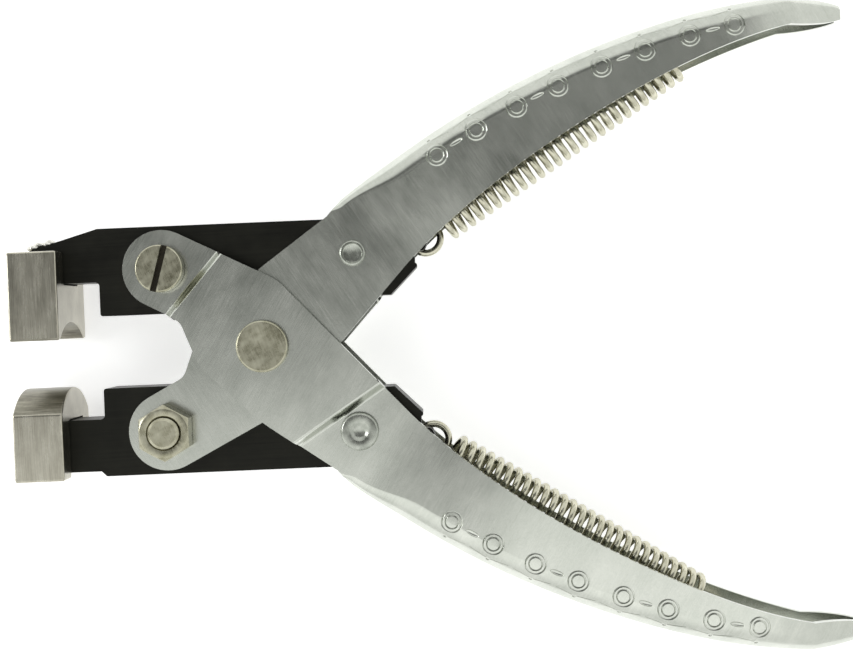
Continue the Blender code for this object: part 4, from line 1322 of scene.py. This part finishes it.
@dataclass
class Springs:
    """Two tension springs, each one wire from its front hook to its rear loop. Millimetres."""

    link: Linkage
    front: Flat = (32.4, 20.0)
    coil: float = 2.95
    wire: float = 0.7
    turns: int = 27
    per_turn: int = 22
    reach: float = 4.3

    def route(self) -> list[Vector]:
        """Centre line of the upper spring's wire, from the hook's end to the loop's end."""
        front = mm(*self.front, 0)
        rear = self.link.spring_rear
        span = rear - front
        along, up = span.normalized(), Vector((0, 0, 1))
        out = Vector((-along.y, along.x, 0))
        coil, reach = self.coil * MM, self.reach * MM
        points = []
        for step in range(0, 61):
            turn = math.radians(-252 + 5 * step)
            points.append(front + (along * math.cos(turn) + out * math.sin(turn)) * coil)
        bend_from = points[-1]
        length = span.length - 2 * reach
        count = self.turns * self.per_turn
        helix = []
        for i in range(count + 1):
            turn = 2 * math.pi * i / self.per_turn
            centre = front + along * (reach + length * i / count)
            helix.append(centre + (out * math.cos(turn) + up * math.sin(turn)) * coil)
        lead = (points[-1] - points[-2]).normalized() * 1.2 * MM
        enter = (helix[1] - helix[0]).normalized() * 1.2 * MM
        bend = [bend_from, bend_from + lead, helix[0] - enter, helix[0]]
        points += [bezier(bend, i / 8) for i in range(1, 8)]
        points += helix
        for degrees in range(-112, 121, 8):
            turn = math.radians(degrees)
            lift = out * coil * max(0.0, (-60 - degrees) / 60)
            points.append(rear + (along * math.cos(turn) + up * math.sin(turn)) * coil + lift)
        return points

    def model(self) -> Object:
        """The wire as a mesh with closed ends."""
        curve = bpy.data.curves.new("spring", "CURVE")
        curve.dimensions = "3D"
        curve.bevel_depth = self.wire * MM
        curve.bevel_resolution = 3
        curve.use_fill_caps = True
        route = self.route()
        spline = curve.splines.new("POLY")
        spline.points.add(len(route) - 1)
        for point, place in zip(spline.points, route):
            point.co = (*place, 1)
        obj = bpy.data.objects.new("spring", curve)
        bring_in(obj)
        activate(obj)
        bpy.ops.object.convert(target="MESH")
        obj = bpy.context.object
        tidy_normals(obj)
        shade(obj, 60)
        return obj

    def build(self) -> None:
        """Makes both springs. Each stretches between its rear seat and its hook on the jaw bar."""
        link = self.link
        upper = self.model()
        lower = copy_of(upper, "lower")
        for piece, side in ((upper, Side.UPPER), (lower, Side.LOWER)):
            name, over = side.value, side is Side.LOWER
            finish = DrawnWire(f"drawn_wire_{name}", "#b3b09c", "#dcdac8", 0.16, 0.30)
            link.place(piece, f"{name}_spring_wire", "", "spring_wire", finish.build(),
                       [f"{name}_spring", f"{name}_spring_hook"], over)
            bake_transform(piece)


# ---- Studio ----


@dataclass
class Studio:
    """White floor, light tent and the camera over the tool."""

    camera_height: float = 260.0
    camera_over: Flat = (31.95, 5.3)
    camera_roll: float = -2.4
    lens: float = 54.9
    shift: float = -0.0176
    roof: tuple[Flat, ...] = ((-1.0, 0.85), (-0.17, 1.0), (-0.10, 0.62), (-0.04, 0.34), (0.0, 0.22),
                              (0.03, 0.09), (0.10, 0.06), (0.14, 0.24), (0.22, 0.34), (0.29, 0.05),
                              (0.42, 0.03), (0.54, 0.78))
    walls: float = 0.75
    lean: float = -0.38
    gain: float = 1.32

    def floor(self, level: float) -> None:
        """A pale seamless sheet under the tool, lit from within so that its shadows stay faint."""
        sheet = primitive("plane", size=6, location=(0, 0, level))
        sheet.name = "floor"
        material = bpy.data.materials.new("white_acrylic_sheet")
        material.use_nodes = True
        shader = material.node_tree.nodes["Principled BSDF"]
        shader.inputs["Base Color"].default_value = linear("#f4f4f4")
        shader.inputs["Roughness"].default_value = 0.9
        shader.inputs["Emission Color"].default_value = linear("#ffffff")
        shader.inputs["Emission Strength"].default_value = 0.52
        sheet.data.materials.append(material)

    def tent(self) -> None:
        """The light tent: bright towards -Y and low down, dim overhead, with a dark gap on the +Y side."""
        world = bpy.data.worlds.new("light_tent")
        bpy.context.scene.world = world
        world.use_nodes = True
        tree = world.node_tree
        direction = add_node(tree, "ShaderNodeTexCoord").outputs["Generated"]
        parts = add_node(tree, "ShaderNodeSeparateXYZ", {0: direction})
        across = add_node(tree, "ShaderNodeMapRange", {
            "Value": parts.outputs["Y"], "From Min": -1, "From Max": 1})
        roof = ramp(tree, across.outputs[0], [((y + 1) / 2, level) for y, level in self.roof])
        height = add_node(tree, "ShaderNodeMath", {
            0: parts.outputs["X"], 1: self.lean, 2: parts.outputs["Z"]}, operation="MULTIPLY_ADD")
        low = add_node(tree, "ShaderNodeMapRange", {
            "Value": height.outputs[0], "From Min": 0.75, "From Max": 0.45, "To Min": 0.0, "To Max": 1.0},
            interpolation_type="SMOOTHSTEP")
        level = add_node(tree, "ShaderNodeMix", {0: low.outputs[0], 2: roof, 3: self.walls})
        gain = add_node(tree, "ShaderNodeMath", {0: level.outputs[0], 1: self.gain}, operation="MULTIPLY")
        background = tree.nodes["Background"]
        tree.links.new(gain.outputs[0], background.inputs["Strength"])
        background.inputs["Color"].default_value = linear("#fdfefb")

    def lamp(self, name: str, place: Vector, size: float, power: float) -> None:
        """A square soft box that faces the tool's middle."""
        light = bpy.data.lights.new(name, "AREA")
        light.size = size
        light.energy = power
        obj = bpy.data.objects.new(name, light)
        obj.location = place
        obj.rotation_euler = (Vector((0.03, 0, 0)) - place).to_track_quat("-Z", "Y").to_euler()
        bring_in(obj)

    def camera(self, middle: float) -> None:
        """The camera, straight above the tool."""
        data = bpy.data.cameras.new("camera")
        data.lens = self.lens
        data.sensor_width = 36.0
        data.shift_y = self.shift
        data.clip_start = 0.01
        obj = bpy.data.objects.new("camera", data)
        x, y = self.camera_over
        obj.location = (x * MM, y * MM, middle + self.camera_height * MM)
        obj.rotation_euler = (0, 0, math.radians(self.camera_roll))
        bring_in(obj)
        bpy.context.scene.camera = obj

    def build(self, floor_level: float, middle: float) -> None:
        """Sets up the floor, the light and the camera."""
        self.camera(middle)
        self.floor(floor_level)
        self.tent()
        self.lamp("soft_box", Vector((-0.92, 0.20, 0.60)), 0.45, 4.2)
        bpy.context.scene.view_settings.view_transform = "Standard"


def dress_hidden_pieces() -> None:
    """Gives the CAD bush, which stays as it is inside the pivot, its plated finish."""
    bush = frame["nodes"]["pivot_bush"]
    finish = TurnedNickel("turned_nickel_bush", "#8f8c76", "#c9c7b4", 0.22, 0.40)
    bush.data.materials.clear()
    bush.data.materials.append(finish.build())


def main() -> None:
    """Builds the studio and every sub-assembly in order."""
    logging.basicConfig(level=logging.INFO, format="%(message)s")
    link = Linkage()
    Studio().build(CAD_BOX[0].z, link.lift)
    Handles(link).build()
    Jaw(link, Side.UPPER, 13.8, 20.5, 24.3).build()
    Jaw(link, Side.LOWER, 13.1, 23.3, 23.3, die_face=11.35, die_back=24.35, work_radius=13.0).build()
    Fasteners(link).build()
    Springs(link).build()
    dress_hidden_pieces()


if __name__ == "__main__":
    main()
